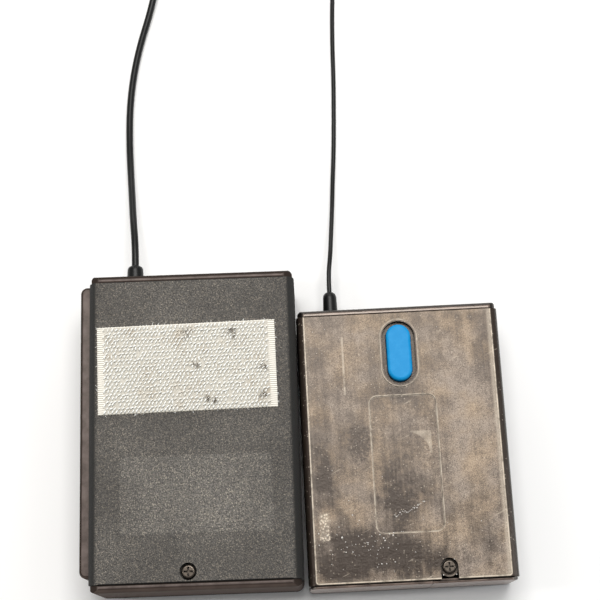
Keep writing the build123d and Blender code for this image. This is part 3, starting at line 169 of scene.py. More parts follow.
class Paint:
    """One procedural material: a shader and the nodes that feed it."""

    def __init__(self, name, color, roughness, **shader):
        self.material = bpy.data.materials.new(name)
        self.material.use_nodes = True
        self.tree = self.material.node_tree
        self.shader = self.tree.nodes["Principled BSDF"]
        self.shader.inputs["Base Color"].default_value = color
        self.shader.inputs["Roughness"].default_value = roughness
        for key, value in shader.items():
            self.shader.inputs[socket_name(key)].default_value = value

    def add(self, kind, *inputs, out=0, **settings):
        """The output of a new node, with its inputs in order.

        A socket is linked, a value is set, and None leaves an input alone.
        """
        node = self.tree.nodes.new("ShaderNode" + kind)
        for key, value in settings.items():
            setattr(node, key, value)
        for socket, value in zip(node.inputs, inputs):
            if isinstance(value, bpy.types.NodeSocket):
                self.tree.links.new(value, socket)
            elif value is not None:
                socket.default_value = value
        return node.outputs[out]

    def coords(self, origin=(0, 0, 0), turn=0.0, stretch=(1, 1, 1)):
        """Position on the object in millimetres, from an origin, along axes turned about Z.

        A stretch below 1 draws a pattern out along its axis, and one above 1 packs it closer.
        """
        place = self.add("TexCoord", out=3)
        turned = (0, 0, radians(turn))
        scale = [MM / s for s in stretch]
        return self.add("Mapping", place, metres(*origin), turned, scale, vector_type="TEXTURE")

    def calc(self, kind, a, b=0.0):
        """Arithmetic on one number or two."""
        return self.add("Math", a, b, operation=kind)

    def times(self, a, b):
        """Product of two numbers."""
        return self.calc("MULTIPLY", a, b)

    def noise(self, where, scale, detail=3.0, rough=0.55):
        """Cloudy pattern, 0 to 1."""
        made = self.add("TexNoise", where)
        node = made.node
        node.inputs["Scale"].default_value = scale
        node.inputs["Detail"].default_value = detail
        node.inputs["Roughness"].default_value = rough
        return made

    def cells(self, where, scale, out=0):
        """Distance to the nearest of scattered points, or its cell's own colour with out=1."""
        made = self.add("TexVoronoi", where, out=out)
        made.node.inputs["Scale"].default_value = scale
        return made

    def spots(self, where, scale, sparse):
        """1 in small round spots, in all cells but about a share of sparse, one to a cell."""
        tone = self.add("SeparateColor", self.cells(where, scale, out=1))
        dots = self.ramp(self.cells(where, scale), 0.26, 0.1)
        return self.times(dots, self.ramp(tone, sparse, sparse + 0.1))

    def ramp(self, value, low, high, start=0.0, end=1.0):
        """Smooth step from start at low to end at high."""
        step = "SMOOTHSTEP"
        return self.add("MapRange", value, low, high, start, end, interpolation_type=step)

    def mix(self, share, a, b, blend="MIX"):
        """Blend of two colours."""
        node = self.tree.nodes.new("ShaderNodeMix")
        node.data_type = "RGBA"
        node.blend_type = blend
        for socket, value in zip((node.inputs[0], node.inputs[6], node.inputs[7]), (share, a, b)):
            if isinstance(value, bpy.types.NodeSocket):
                self.tree.links.new(value, socket)
            else:
                socket.default_value = value
        return node.outputs[2]

    def axes(self, where):
        """The X, Y and Z of a position."""
        return tuple(self.add("SeparateXYZ", where).node.outputs)

    def outline(self, where, centre, half, corner):
        """Distance from the edge of a rounded rectangle, in millimetres, below 0 inside it."""
        x, y, _ = self.axes(where)
        gaps = []
        for value, middle, reach in zip((x, y), centre, half):
            offset = self.calc("ABSOLUTE", self.calc("SUBTRACT", value, middle))
            gaps.append(self.calc("SUBTRACT", offset, reach - corner))
        beyond = [self.calc("POWER", self.calc("MAXIMUM", gap, 0.0), 2.0) for gap in gaps]
        outside = self.calc("SQRT", self.calc("ADD", *beyond))
        inside = self.calc("MINIMUM", self.calc("MAXIMUM", *gaps), 0.0)
        return self.calc("SUBTRACT", self.calc("ADD", outside, inside), corner)

    def line(self, distance, at, width):
        """1 where a distance has a given value, fading to 0 on both sides of it."""
        return self.ramp(self.calc("ABSOLUTE", self.calc("SUBTRACT", distance, at)), width, 0.0)

    def oval(self, where, centre, reach):
        """1 in the middle of an oval, fading to 0 at its edge."""
        scale = (*reach, 1e6)
        within = self.add("Mapping", where, (*centre, 0), (0, 0, 0), scale, vector_type="TEXTURE")
        return self.ramp(self.add("VectorMath", within, operation="LENGTH", out=1), 1.0, 0.0)

    def warped(self, where, scale, amount):
        """A position moved about by noise, so that shapes drawn with it get uneven edges."""
        cloud = self.add("TexNoise", where, out=1)
        cloud.node.inputs["Scale"].default_value = scale
        cloud.node.inputs["Detail"].default_value = 5.0
        centred = self.add("VectorMath", cloud, (-0.5, -0.5, -0.5), operation="ADD")
        reach = (amount, amount, 0.0)
        return self.add("VectorMath", centred, reach, where, operation="MULTIPLY_ADD")

    def facing_up(self, tilted=0.84):
        """1 on faces that look up or down, 0 where the normal's Z is at or below tilted."""
        _, _, z = self.axes(self.add("TexCoord", out=1))
        return self.ramp(self.calc("ABSOLUTE", z), tilted, 0.998)

    def bottom_end(self):
        """1 on walls that face the bottom end, 0 on the others."""
        _, y, _ = self.axes(self.add("TexCoord", out=1))
        return self.ramp(y, -0.3, -0.6)

    def crevice(self, reach):
        """1 in the open, falling towards 0 in grooves and corners within a reach in millimetres."""
        made = self.add("AmbientOcclusion", out=1)
        made.node.inputs["Distance"].default_value = reach * MM
        made.node.samples = 8
        return made

    def total(self, *values):
        """Sum of numbers, kept between 0 and 1."""
        result = values[0]
        for value in values[1:]:
            result = self.calc("ADD", result, value)
        result.node.use_clamp = True
        return result

    def bump(self, height, depth, below=None):
        """Surface relief, over another one below; depth is a full step's height in millimetres."""
        return self.add("Bump", 1.0, depth * MM, None, height, below)

    def set(self, **outputs):
        """Links sockets to the shader's inputs."""
        for key, value in outputs.items():
            self.tree.links.new(value, self.shader.inputs[socket_name(key)])


# ---------------------------------------------------------------- leads

# from each gland to its coil, as in the CAD source, in millimetres
ANTENNA_ROUTE = [
    (-17.7, 51.8, 12.5),
    (-17.7, 58.5, 12.5),
    (-18.5, 66.5, 10.6),
    (-19.3, 75.5, 6.9),
    (-20.2, 85.5, 3.1),
    (-20.8, 96.5, 1.4),
    (-20.7, 108.5, 1.1),
    (-19.4, 120.0, 1.1),
    (-17.2, 130.5, 1.1),
    (-14.4, 140.0, 1.1),
    (-12.1, 149.0, 2.0),
    (-11.1, 157.5, 3.2),
]
MIC_ROUTE = [
    tuple(on_transmitter(-19.0, 48.0, 10.5).round(4)),
    tuple(on_transmitter(-19.0, 53.6, 10.5).round(4)),
    (41.3, 54.0, 9.6),
    (41.9, 62.0, 6.4),
    (42.6, 71.0, 3.2),
    (43.2, 81.0, 1.2),
    (44.0, 92.0, 0.7),
    (44.5, 104.0, 0.7),
    (44.9, 116.0, 0.7),
    (45.0, 128.0, 0.7),
    (45.4, 140.0, 0.7),
    (46.1, 150.5, 0.7),
]
ANTENNA_RADIUS, MIC_RADIUS = 1.1, 0.7

# the coils: middles, slots for their turns, and the last points before the pieces at their ends
ANTENNA_COIL, MIC_COIL = (-23.1, 166.0), (57.5, 161.0)
ANTENNA_SLOTS = [(12.1, 3.3), (9.9, 3.3), (9.9, 1.1), (12.1, 1.1), (14.3, 1.1)]
MIC_RADII, MIC_HEIGHTS = [11.2, 9.8, 8.4, 7.0, 5.6], [0.7, 2.1, 3.5, 4.9]
ANTENNA_END = [(-25.0, 180.3, 1.3), (-27.0, 180.3, 1.7), (-31.0, 180.3, 1.7)]
MIC_END = [(59.2, 172.2, 5.1), (61.0, 172.2, 5.2), (64.0, 172.2, 5.2)]
POINTS_PER_TURN = 16
SHIFT_FROM = 0.78  # share of a turn after which it moves over to the next slot
TIE_LIFT, TIE_SPREAD = 0.45, 0.35  # how far the tie lifts the turns, in mm, and over what angle


def turns(centre, slots, count, start, sense, tie, bulge):
    """Points of a wound lead, whose turns each keep to one slot (radius, height) and then shift.

    It starts and is tied at bearings in degrees, and winds anticlockwise for a sense of 1. Where
    it climbs from one layer to the next, it leaves its circle by the bulge, in millimetres.
    """
    on_circle = 1 / cos(pi / POINTS_PER_TURN)
    points = []
    for step in range(int(count * POINTS_PER_TURN) + 1):
        turn, part = divmod(step / POINTS_PER_TURN, 1)
        here = slots[int(turn)]
        after = slots[min(int(turn) + 1, len(slots) - 1)]
        share = max(0.0, (part - SHIFT_FROM) / (1 - SHIFT_FROM))
        ease = share * share * (3 - 2 * share)
        radius = here[0] + (after[0] - here[0]) * ease
        height = here[1] + (after[1] - here[1]) * ease
        if here[0] == after[0]:
            inner = here[0] == min(slot[0] for slot in slots)
            radius += bulge * sin(pi * ease) * (-1 if inner else 1)
        bearing = radians(start) + sense * step * 2 * pi / POINTS_PER_TURN
        from_tie = (bearing - radians(tie) + pi) % (2 * pi) - pi
        height += TIE_LIFT * np.exp(-((from_tie / TIE_SPREAD) ** 2))
        reach = radius * on_circle
        points.append((centre[0] + reach * cos(bearing), centre[1] + reach * sin(bearing), height))
    return points


def make_lead(name, points, radius, body, nodes):
    """A smooth line through a route's points, as thick as the lead."""
    curve = bpy.data.curves.new(name, "CURVE")
    curve.dimensions = "3D"
    curve.bevel_depth = radius * MM
    curve.bevel_resolution = 5
    curve.resolution_u = 8
    curve.use_fill_caps = True
    spline = curve.splines.new("NURBS")
    spline.points.add(len(points) - 1)
    for point, place in zip(spline.points, points):
        point.co = (*metres(*place), 1.0)
    spline.order_u = 3
    spline.use_endpoint_u = True
    made = add_object(name, curve)
    curve.materials.append(finish_of("black_rubber"))
    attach(made, body)
    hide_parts(*nodes)
    return made


def antenna_points():
    """Along the route, round the coil from its top to its bottom outside, then into the tip."""
    coil = {"count": 4.25, "start": 0, "sense": 1, "tie": 215, "bulge": 1.7}
    return ANTENNA_ROUTE + turns(ANTENNA_COIL, ANTENNA_SLOTS, **coil) + ANTENNA_END


def microphone_points():
    """Along the route, round the coil layer by layer, inwards and outwards, then into the boot."""
    slots = []
    for layer, height in enumerate(MIC_HEIGHTS):
        inwards = layer % 2 == 0
        slots += [(radius, height) for radius in (MIC_RADII if inwards else MIC_RADII[::-1])]
    coil = {"count": 19.25, "start": 180, "sense": -1, "tie": 250, "bulge": 1.1}
    return MIC_ROUTE + turns(MIC_COIL, slots, **coil) + MIC_END


def make_leads():
    """The antenna lead and the microphone's lead, each running into the piece on its far end."""
    nodes = ["rx_antenna_lead", "rx_antenna_coil"]
    antenna = make_lead("antenna_lead", antenna_points(), ANTENNA_RADIUS, "receiver", nodes)
    nodes = ["tx_mic_lead", "tx_mic_coil"]
    lead = make_lead("microphone_lead", microphone_points(), MIC_RADIUS, "transmitter", nodes)


# ---------------------------------------------------------------- meshes


ASIDE = (0.37, 0.21, 0.905)  # a direction that no tube follows


def skin(rings, sides):
    """Faces between rings of points that follow each other, and a cap on each end."""
    faces = []
    for i in range(rings - 1):
        for j in range(sides):
            a, b = i * sides + j, i * sides + (j + 1) % sides
            faces.append((a, a + sides, b + sides, b))
    last = (rings - 1) * sides
    return faces + [tuple(range(sides)), tuple(range(last + sides - 1, last - 1, -1))]


def tube(line, radii, sides):
    """Points and faces of a closed tube along a line; radii has one value per point."""
    line = np.asarray(line, float)
    ahead = np.gradient(line, axis=0)
    ahead /= np.linalg.norm(ahead, axis=1, keepdims=True)
    across = np.cross(ahead, ASIDE)
    across /= np.linalg.norm(across, axis=1, keepdims=True)
    other = np.cross(ahead, across)
    angles = np.linspace(0, 2 * pi, sides, endpoint=False)[None, :, None]
    ring = across[:, None] * np.cos(angles) + other[:, None] * np.sin(angles)
    points = (line[:, None] + ring * np.asarray(radii, float)[:, None, None]).reshape(-1, 3)
    return points, skin(len(line), sides)


def lathe(start, profile, sides):
    """Points and faces of a solid turned about X, from its (distance, radius) profile."""
    along, radii = np.array(profile, float).T
    angles = np.linspace(0, 2 * pi, sides, endpoint=False)
    x = start[0] + np.repeat(along[:, None], sides, 1)
    y = start[1] + radii[:, None] * np.cos(angles)
    z = start[2] + radii[:, None] * np.sin(angles)
    points = np.stack([x, y, z], -1).reshape(-1, 3)
    return points, skin(len(profile), sides)


def joined(parts):
    """Several (points, faces) as one."""
    points, faces, start = [], [], 0
    for part_points, part_faces in parts:
        points.append(part_points)
        faces += [tuple(start + i for i in face) for face in part_faces]
        start += len(part_points)
    return np.concatenate(points), faces


def add_mesh(name, shape, slot, body, material=None):
    """A piece that rides on a body, from points in millimetres and faces."""
    mesh = bpy.data.meshes.new(name)
    mesh.from_pydata((shape[0] * MM).tolist(), [], shape[1])
    mesh.shade_smooth()
    mesh.materials.append(material or finish_of(slot))
    made = add_object(name, mesh)
    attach(made, body)
    return made


# ---------------------------------------------------------------- hook tape

# sizes in millimetres
HOOK_PITCH = (1.15, 1.0)
HOOK_REACH, HOOK_HEIGHT = 0.86, 0.72
HOOK_LEANS, LEAN_SPREAD = (8, -14), 12  # degrees, for even and odd rows
HOOK_SIZES, HOOK_SHIFT = (0.86, 1.08), 0.07
HOOK_MARGINS = (0.3, 0.7)  # from the selvedges and the cut edges
HOOK_FOOT = (-0.2, -0.3)  # from its place in the rows
SELVEDGE = 1.8  # width of the band without hooks
BACKING = 0.42  # thickness of the ground
GROUND_GRID = (220, 172)  # its points across and along
WARP, WEFT = 0.45, 0.6  # pitches of its ribs
WARP_RELIEF, WEFT_RELIEF, HOOK_RELIEF = 0.012, 0.045, 0.06
RIM_DROP, RIM_REACH = 0.14, 0.2  # its rounded rim
MISSING_HOOKS = 0.02  # share of them
LOOSE_THREADS = 80
THREAD_LENGTHS, THREAD_BEND, THREAD_RADIUS = (0.25, 0.85), 0.35, 0.05
FIBRES_IN_LINT, FIBRE_POINTS = 9, 6
FIBRE_STEP, FIBRE_SPREAD, FIBRE_RADIUS = 0.28, 0.35, 0.055
LINT_LEVEL = 26.15  # height above the table
LINT_PLACES = [
    (11.2, 27.6),
    (-1.5, 27.2),
    (1.5, 17.3),
    (20.7, 16.3),
    (20.5, 9.0),
    (6.5, 7.2),
    (12.1, 26.1),
    (4.6, 7.7),
]


def tape_backing():
    """The woven ground: a thin slab with ribs, which stand out most along the two selvedges."""
    half_x, half_y = TAPE_WIDTH / 2, TAPE_LENGTH / 2
    xs = np.linspace(-half_x, half_x, GROUND_GRID[0])
    ys = np.linspace(-half_y, half_y, GROUND_GRID[1])
    x, y = np.meshgrid(xs, ys)
    # 1 among the hooks and 0 on the selvedges
    field = np.clip((half_x - SELVEDGE - np.abs(x)) / 0.5, 0, 1)
    ribs = WEFT_RELIEF * np.cos(2 * pi * y / WEFT) + WARP_RELIEF * np.cos(2 * pi * x / WARP)
    across, along = 2 * pi * x / HOOK_PITCH[0], 2 * pi * y / HOOK_PITCH[1]
    mounds = HOOK_RELIEF * np.cos(along) * np.cos(across + along / 2)
    top = BACKING + ribs * (1 - 0.6 * field) + mounds * field
    rim = np.minimum(half_x - np.abs(x), half_y - np.abs(y))
    top -= RIM_DROP * np.exp(-((rim / RIM_REACH) ** 2))
    # the two cut edges waver a little
    edge = 0.05 * np.sin(x * 7.0) + 0.03 * np.sin(x * 17.0 + 1)
    y = y + edge * (np.abs(y) > half_y - 0.01) * np.sign(y)
    upper = np.stack([x, y, top], -1).reshape(-1, 3)
    lower = np.stack([x, y, np.zeros_like(x)], -1).reshape(-1, 3)
    rows, columns = x.shape
    faces = []
    under = rows * columns
    for i in range(rows - 1):
        for j in range(columns - 1):
            a, b = i * columns + j, (i + 1) * columns + j
            faces += [(a, a + 1, b + 1, b), (under + a, under + b, under + b + 1, under + a + 1)]
    loop = [*range(columns), *range(2 * columns - 1, under, columns)]
    loop += [*range(under - 2, under - columns - 1, -1), *range(under - 2 * columns, 0, -columns)]
    for a, b in zip(loop, loop[1:] + loop[:1]):
        faces.append((b, a, under + a, under + b))
    return np.concatenate([upper, lower]), faces


def one_hook(reach, height):
    """A moulded hook: up from the ground, over, and down at its tip."""
    along = np.array([0.0, 0.02, 0.1, 0.32, 0.62, 0.88, 1.0]) * reach
    up = np.array([-0.1, 0.45, 0.78, 0.98, 0.96, 0.72, 0.42]) * height
    line = np.stack([along * 0.62, along * 0.78, up], -1)
    return tube(line, [0.24, 0.21, 0.19, 0.19, 0.18, 0.16, 0.1], 6)


def tape_hooks():
    """Rows of hooks, each set half a pitch over from the last and leaning the other way."""
    hook_points, hook_faces = one_hook(HOOK_REACH, HOOK_HEIGHT)
    parts = []
    half_x = TAPE_WIDTH / 2 - SELVEDGE - HOOK_MARGINS[0]
    half_y = TAPE_LENGTH / 2 - HOOK_MARGINS[1]
    for row, y in enumerate(np.arange(-half_y, half_y, HOOK_PITCH[1])):
        start = -half_x + (row % 2) * HOOK_PITCH[0] / 2
        for x in np.arange(start, half_x, HOOK_PITCH[0]):
            if chance.random() < MISSING_HOOKS:
                continue
            size = chance.uniform(*HOOK_SIZES)
            lean = chance.normal(HOOK_LEANS[row % 2], LEAN_SPREAD)
            shift = chance.normal(0, HOOK_SHIFT, 2)
            centre = (x + shift[0] + HOOK_FOOT[0], y + shift[1] + HOOK_FOOT[1], BACKING)
            sized = hook_points * (size, size, min(size, 1.0))
            parts.append((placed(sized, centre, lean), hook_faces))
    return joined(parts)


def tape_fuzz():
    """Loose ends of thread along the tape's cut and woven edges."""
    parts = []
    steps = np.linspace(0, 1, 6)[:, None]
    for _ in range(LOOSE_THREADS):
        outwards = np.array([(-1, 0), (1, 0), (0, -1), (0, 1)][chance.integers(4)])
        root = outwards + chance.uniform(-1, 1) * np.abs(outwards[::-1])
        root = root * (TAPE_WIDTH / 2, TAPE_LENGTH / 2) * 0.995
        heading = chance.normal(0, 1, 2) + 1.4 * outwards
        heading /= np.linalg.norm(heading)
        length = chance.uniform(*THREAD_LENGTHS)
        bend = chance.normal(0, THREAD_BEND) * np.array([-heading[1], heading[0]])
        path = root + heading * length * steps + bend * length * steps**2
        height = 0.12 + 0.25 * chance.random() * np.sin(pi * steps)
        parts.append(tube(np.hstack([path, height]), [THREAD_RADIUS] * len(steps), 4))
    return joined(parts)


def lint():
    """Dark fibres caught in the hooks, in small tangles."""
    parts = []
    for x, y in LINT_PLACES:
        for _ in range(FIBRES_IN_LINT):
            steps = chance.normal(0, FIBRE_STEP, (FIBRE_POINTS, 2))
            path = np.cumsum(steps, axis=0) + (x, y) + chance.normal(0, FIBRE_SPREAD, 2)
            height = LINT_LEVEL + chance.uniform(-0.15, 0.25, FIBRE_POINTS)
            fibre = np.column_stack([path, height])
            parts.append(tube(fibre, [FIBRE_RADIUS] * FIBRE_POINTS, 4))
    return joined(parts)


def make_tape():
    """Hook tape stuck on the receiver's back, with its hooks and the lint they have caught."""
    centre = (*TAPE_CENTRE, TAPE_LOW)
    points, faces = tape_backing()
    ground = (placed(points, centre, TAPE_TURN), faces)
    backing = add_mesh("tape_backing", ground, "hook_tape", "receiver")
    points, faces = joined([tape_hooks(), tape_fuzz()])
    pile = (placed(points, centre, TAPE_TURN), faces)
    hooks = add_mesh("tape_hooks", pile, "hook_tape", "receiver", hook_nylon())
    caught = add_mesh("tape_lint", lint(), "hook_tape", "receiver", lint_fibre())
    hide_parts("hook_tape")


# ---------------------------------------------------------------- dust on the transmitter

# heights of the crumbs' middles: in the thick patch, elsewhere, in the label's recess, in holes
PATCH_Z, COVER_Z, LABEL_Z, HOLE_Z = 21.03, 21.02, 20.68, 20.0
# the thick patch across and along: middle, spread and limits
PATCH_AREA = [(-12, 7.0, (-26, 12)), (-28.5, 3.0, (-38, -20))]
PATCH_CRUMBS, COVER_CRUMBS, LABEL_CRUMBS = 60, 26, 24
HOLE_CRUMBS = [(8.2, -37.8), (11.9, -37.8), (-3.4, 17.4), (3.4, 20.2)]


def flake(place, size):
    """A crumb of dust: a squashed, uneven eight-sided speck."""
    directions = [(1, 0, 0), (0, 1, 0), (-1, 0, 0), (0, -1, 0), (0, 0, 1), (0, 0, -1)]
    points = np.array(directions) * chance.uniform(0.6, 1.2, (6, 1)) * (size, size, size * 0.5)
    faces = [(a, (a + 1) % 4, 4) for a in range(4)] + [((a + 1) % 4, a, 5) for a in range(4)]
    return placed(points, place, chance.uniform(0, 90)), faces


def make_dust():
    """Pale crumbs, thickest in the transmitter's lower left part and in its recesses."""
    parts = []
    for _ in range(PATCH_CRUMBS):
        x, y = [np.clip(chance.normal(mid, spread), *ends) for mid, spread, ends in PATCH_AREA]
        size = 0.13 + 0.2 * chance.random() ** 2
        parts.append(flake(on_transmitter(x, y, PATCH_Z), size))
    for _ in range(COVER_CRUMBS):
        x, y = chance.uniform(-26, 26), chance.uniform(-37, 37)
        parts.append(flake(on_transmitter(x, y, COVER_Z), chance.uniform(0.08, 0.16)))
    for step in np.linspace(0, 1, LABEL_CRUMBS):
        # a rising line low on the label
        x, y = -4.3 + 8.6 * step, -20.7 + 3.2 * step**1.3 + chance.normal(0, 0.35)
        parts.append(flake(on_transmitter(x, y, LABEL_Z), chance.uniform(0.1, 0.26)))
    for x, y in HOLE_CRUMBS:
        parts.append(flake(on_transmitter(x, y, HOLE_Z), 0.3))
    add_mesh("dust_crumbs", joined(parts), "smoked_gloss", "transmitter", dust_white())


# ---------------------------------------------------------------- windscreen

# along the microphone from its lead's end, and radii, in millimetres
FOAM_SPAN, FOAM_RADIUS, FOAM_BORE, BORE_END = (21.5, 36.1), 5.2, 4.1, 31.9
FOAM_NOSE, FOAM_HEM = 4.4, 0.9
FOAM_SIDES = 110
PORE_DEPTH, PORE_SCALES = 0.16, (1.9, 4.1)


def foam_profile():
    """From the bottom of the bore, out round the open end, along the outside and over the nose."""
    start, end = FOAM_SPAN
    hem = [
        (start + FOAM_HEM * (1 - cos(a)), FOAM_RADIUS - FOAM_HEM * (1 - sin(a)))
        for a in np.linspace(0, pi / 2, 7)
    ]
    side = [(x, FOAM_RADIUS) for x in np.linspace(start + FOAM_HEM, end - FOAM_NOSE, 42)[1:-1]]
    nose = [
        (end - FOAM_NOSE * (1 - sin(a)), FOAM_RADIUS - FOAM_NOSE * (1 - cos(a)))
        for a in np.linspace(0, pi / 2, 26)
    ]
    tip = [(end, r) for r in (0.55, 0.3, 0.03)]
    bore = [(BORE_END, r) for r in (0.03, 1.4, 2.8)]
    wall = [(x, FOAM_BORE) for x in np.linspace(BORE_END, start, 30)]
    return bore + wall + hem + side + nose + tip


def make_windscreen():
    """Open-cell foam cap over the microphone: a turned form pitted with pores."""
    points, faces = lathe(MIC_START, foam_profile(), FOAM_SIDES)
    for point in points:
        out = Vector((0, point[1] - MIC_START[1], point[2] - MIC_START[2]))
        large, small = [noise.noise(Vector(point) * scale) for scale in PORE_SCALES]
        pore = large + 0.6 * small
        if out.length > 0.1:
            shift = out.normalized() * (-PORE_DEPTH * max(0.0, pore))
            point[1:] += shift[1:]
    foam = add_mesh("foam_windscreen", (points, faces), "foam_black", "windscreen")
    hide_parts("mic_windscreen")


# ---------------------------------------------------------------- finishes

# outlines on the transmitter's cover, in its own frame: middle, half sizes and corner radius
COVER_FACE = ((0, 0), (27.1, 38.6), 0.6)
LABEL = ((0, -6.0), (9.6, 19.6), 2.3)
WELL = ((0, 26.1), (5.5, 10.1), 5.5)
WEDGE, ARC = ((4.6, -0.2), (3.0, 3.3), 0.3), ((0.2, -4.0), (6.9, 6.9), 6.89)
RESIDUE = ((-24.2, -23.0), (1.4, 3.9), 0.4)
STREAK = ((-16.4, 23.0), (0.2, 8.5), 0.15)
# and on the receiver's
GHOST_LABEL = ((0.6, -19.0), (21.5, 11.0), 1.5)
PIN_PITCH = 1.27  # of the circuit boards' pads
TWILL = 0.5  # pitch of the ties' weave


def transmitter_coords(paint, turn=0.0, stretch=(1, 1, 1)):
    """Position in the transmitter's own frame, in millimetres."""
    return paint.coords((*TX_CENTRE, 0), TX_TURN + turn, stretch)


def hook_nylon():
    """Nearly white nylon of the hooks, stained cream in places."""
    paint = Paint("hook_nylon", srgb("f2ebdc"), 0.38)
    where = paint.coords()
    stains = paint.ramp(paint.noise(where, 0.16, 4.0, 0.7), 0.56, 0.74)
    paint.set(base_color=paint.mix(stains, srgb("fdfefb"), srgb("e8dcc9")))
    return paint.material


def lint_fibre():
    """Brown-grey fibre."""
    paint = Paint("lint_fibre", srgb("574a3d"), 0.8)
    where = paint.coords()
    paint.set(base_color=paint.mix(paint.noise(where, 1.5), srgb("463b31"), srgb("6f6252")))
    return paint.material


def dust_white():
    """Pale dust."""
    paint = Paint("dust_white", srgb("f1ece2"), 0.7)
    clouds = paint.noise(paint.coords(), 2.0)
    paint.set(base_color=paint.mix(clouds, srgb("e6dfd2"), srgb("ffffff")))
    return paint.material


def woven_cream(paint):
    """Cream woven ground, a little dirty, shaded between the hooks, ribbed at its selvedges."""
    where = paint.coords((*TAPE_CENTRE, 0), TAPE_TURN)
    hooked = (TAPE_WIDTH / 2 - SELVEDGE, TAPE_LENGTH / 2 - 0.3)
    field = paint.outline(where, (0, 0), hooked, 0.1)
    stains = paint.ramp(paint.noise(where, 0.14, 5.0, 0.7), 0.5, 0.75)
    # the ground among the hooks is darker than the selvedge band: painted shade between the hooks,
    # with real stains on it
    color = paint.mix(stains, srgb("c5c1b7"), srgb("a79b89"))
    _, along, _ = paint.axes(where)
    ribs = paint.ramp(paint.calc("SINE", paint.times(along, 2 * pi / WEFT)), -1.0, -0.2)
    band = paint.mix(ribs, srgb("958f82"), srgb("f2eee4"))
    color = paint.mix(paint.ramp(field, -0.4, 0.1), color, band)
    thread = paint.noise(paint.coords((*TAPE_CENTRE, 0), TAPE_TURN, (0.3, 1, 1)), 1.7, 2.0)
    color = paint.mix(paint.times(thread, 0.25), color, srgb("ece7dc"))
    paint.set(base_color=color, normal=paint.bump(paint.noise(where, 4.0, 3.0), 0.04))


def textured_charcoal(paint):
    """Fine spark-eroded moulding: specks, the pale ones partly painted glints; cloudy, worn patches
    and the ghost of a removed label; a paler middle that is painted light; painted shade on the
    rounded sides.
    """
    where = paint.coords()
    tone = paint.add("SeparateColor", paint.cells(where, 3.6, out=1))
    # pale specks: partly the moulding's speckled tone, partly painted glints of its texture
    dark, pale = paint.ramp(tone, 0.0, 0.6, 0.45, 1.0), paint.ramp(tone, 0.74, 1.0, 0.0, 1.1)
    specks = paint.calc("ADD", dark, pale)
    fine = paint.ramp(paint.noise(where, 2.6, 2.0, 0.7), 0.36, 0.66, 0.52, 1.52)
    clouds = paint.noise(where, 0.05, 5.0, 0.6)
    ghost = paint.outline(paint.warped(where, 0.5, 1.0), *GHOST_LABEL)
    # cloudy patches and the label's ghost are worn places; the oval makes the middle of the cover
    # paler, which is painted light
    wear_and_light = paint.total(
        paint.ramp(clouds, 0.35, 0.7, 0.0, 0.35),
        paint.ramp(ghost, 0.4, -0.6, 0.0, 0.4),
        paint.times(paint.oval(where, (1, -16), (26, 22)), 0.35),
    )
    color = paint.mix(wear_and_light, srgb("494540"), srgb("706c66"))
    golden = paint.mix(paint.ramp(tone, 0.7, 0.9), WHITE, srgb("fffbf3"))
    for pattern in (specks, golden, fine):
        color = paint.mix(1.0, color, pattern, "MULTIPLY")
    # near black on the rounded sides, where the surface turns away from up: painted shade
    upward = paint.facing_up()
    color = paint.mix(upward, srgb("171614"), color)
    relief = paint.bump(paint.cells(where, 3.0), 0.12)
    relief = paint.bump(paint.noise(where, 3.2, 3.0), 0.1, relief)
    paint.set(base_color=color, normal=relief, roughness=paint.ramp(upward, 0, 1, 0.75, 0.52))


def satin_charcoal(paint):
    """Smooth brownish moulding, cloudy with handling, darker and duller on its side walls: the
    darker side walls are painted shade, the paler bottom end wall is painted light, and the
    near-black foot of the walls is painted shadow.
    """
    where = paint.coords()
    clouds = paint.noise(where, 0.25, 5.0, 0.65)
    handled = paint.ramp(clouds, 0.3, 0.7)
    upward = paint.facing_up(0.93)
    color = paint.mix(handled, srgb("4e4542"), srgb("6e635f"))
    _, _, z = paint.axes(where)
    # walls: painted shade on the side walls, painted light on the paler bottom end wall
    end = paint.mix(handled, srgb("4b403b"), srgb("564a44"))
    walls = paint.mix(paint.bottom_end(), srgb("2c2420"), end)
    # near black along the foot of the walls: painted shadow
    walls = paint.mix(paint.ramp(z, 0.5, 4.5), srgb("0d0a09"), walls)
    color = paint.mix(upward, walls, color)
    relief = paint.bump(paint.noise(where, 2.5, 3.0), 0.03)
    dull = paint.ramp(upward, 0, 1, 0.5, 0)
    shine = paint.calc("ADD", paint.ramp(clouds, 0.2, 0.8, 0.26, 0.4), dull)
    paint.set(base_color=color, normal=relief, roughness=shine)


FILM = 0.59  # how much there is where nothing adds or takes any
# middle and reach of each darker or paler area of the film, and how much film it adds
FILM_AREAS = [
    ((-12, -31), (22, 13), -0.85),
    ((4, -33), (15, 9), -0.4),
    ((-25, -8), (7, 22), -0.6),
    ((-25, 22), (6, 9), -0.35),
    ((-2, -10), (13, 22), -0.3),
    ((-22, -37), (9, 6), -0.4),
    ((-3, -17), (12, 9), -0.32),
    ((0, 16), (11, 6), -0.5),
    ((24, 27), (5, 13), -0.4),
    ((20, 36), (9, 3), -0.3),
    ((-14, 3), (6, 9), -0.25),
    ((-19, -2), (10, 24), -0.1),
    ((17, 8), (9, 40), 0.3),
    ((-15, 28), (10, 11), 0.35),
    ((22, -26), (9, 15), -0.16),
]


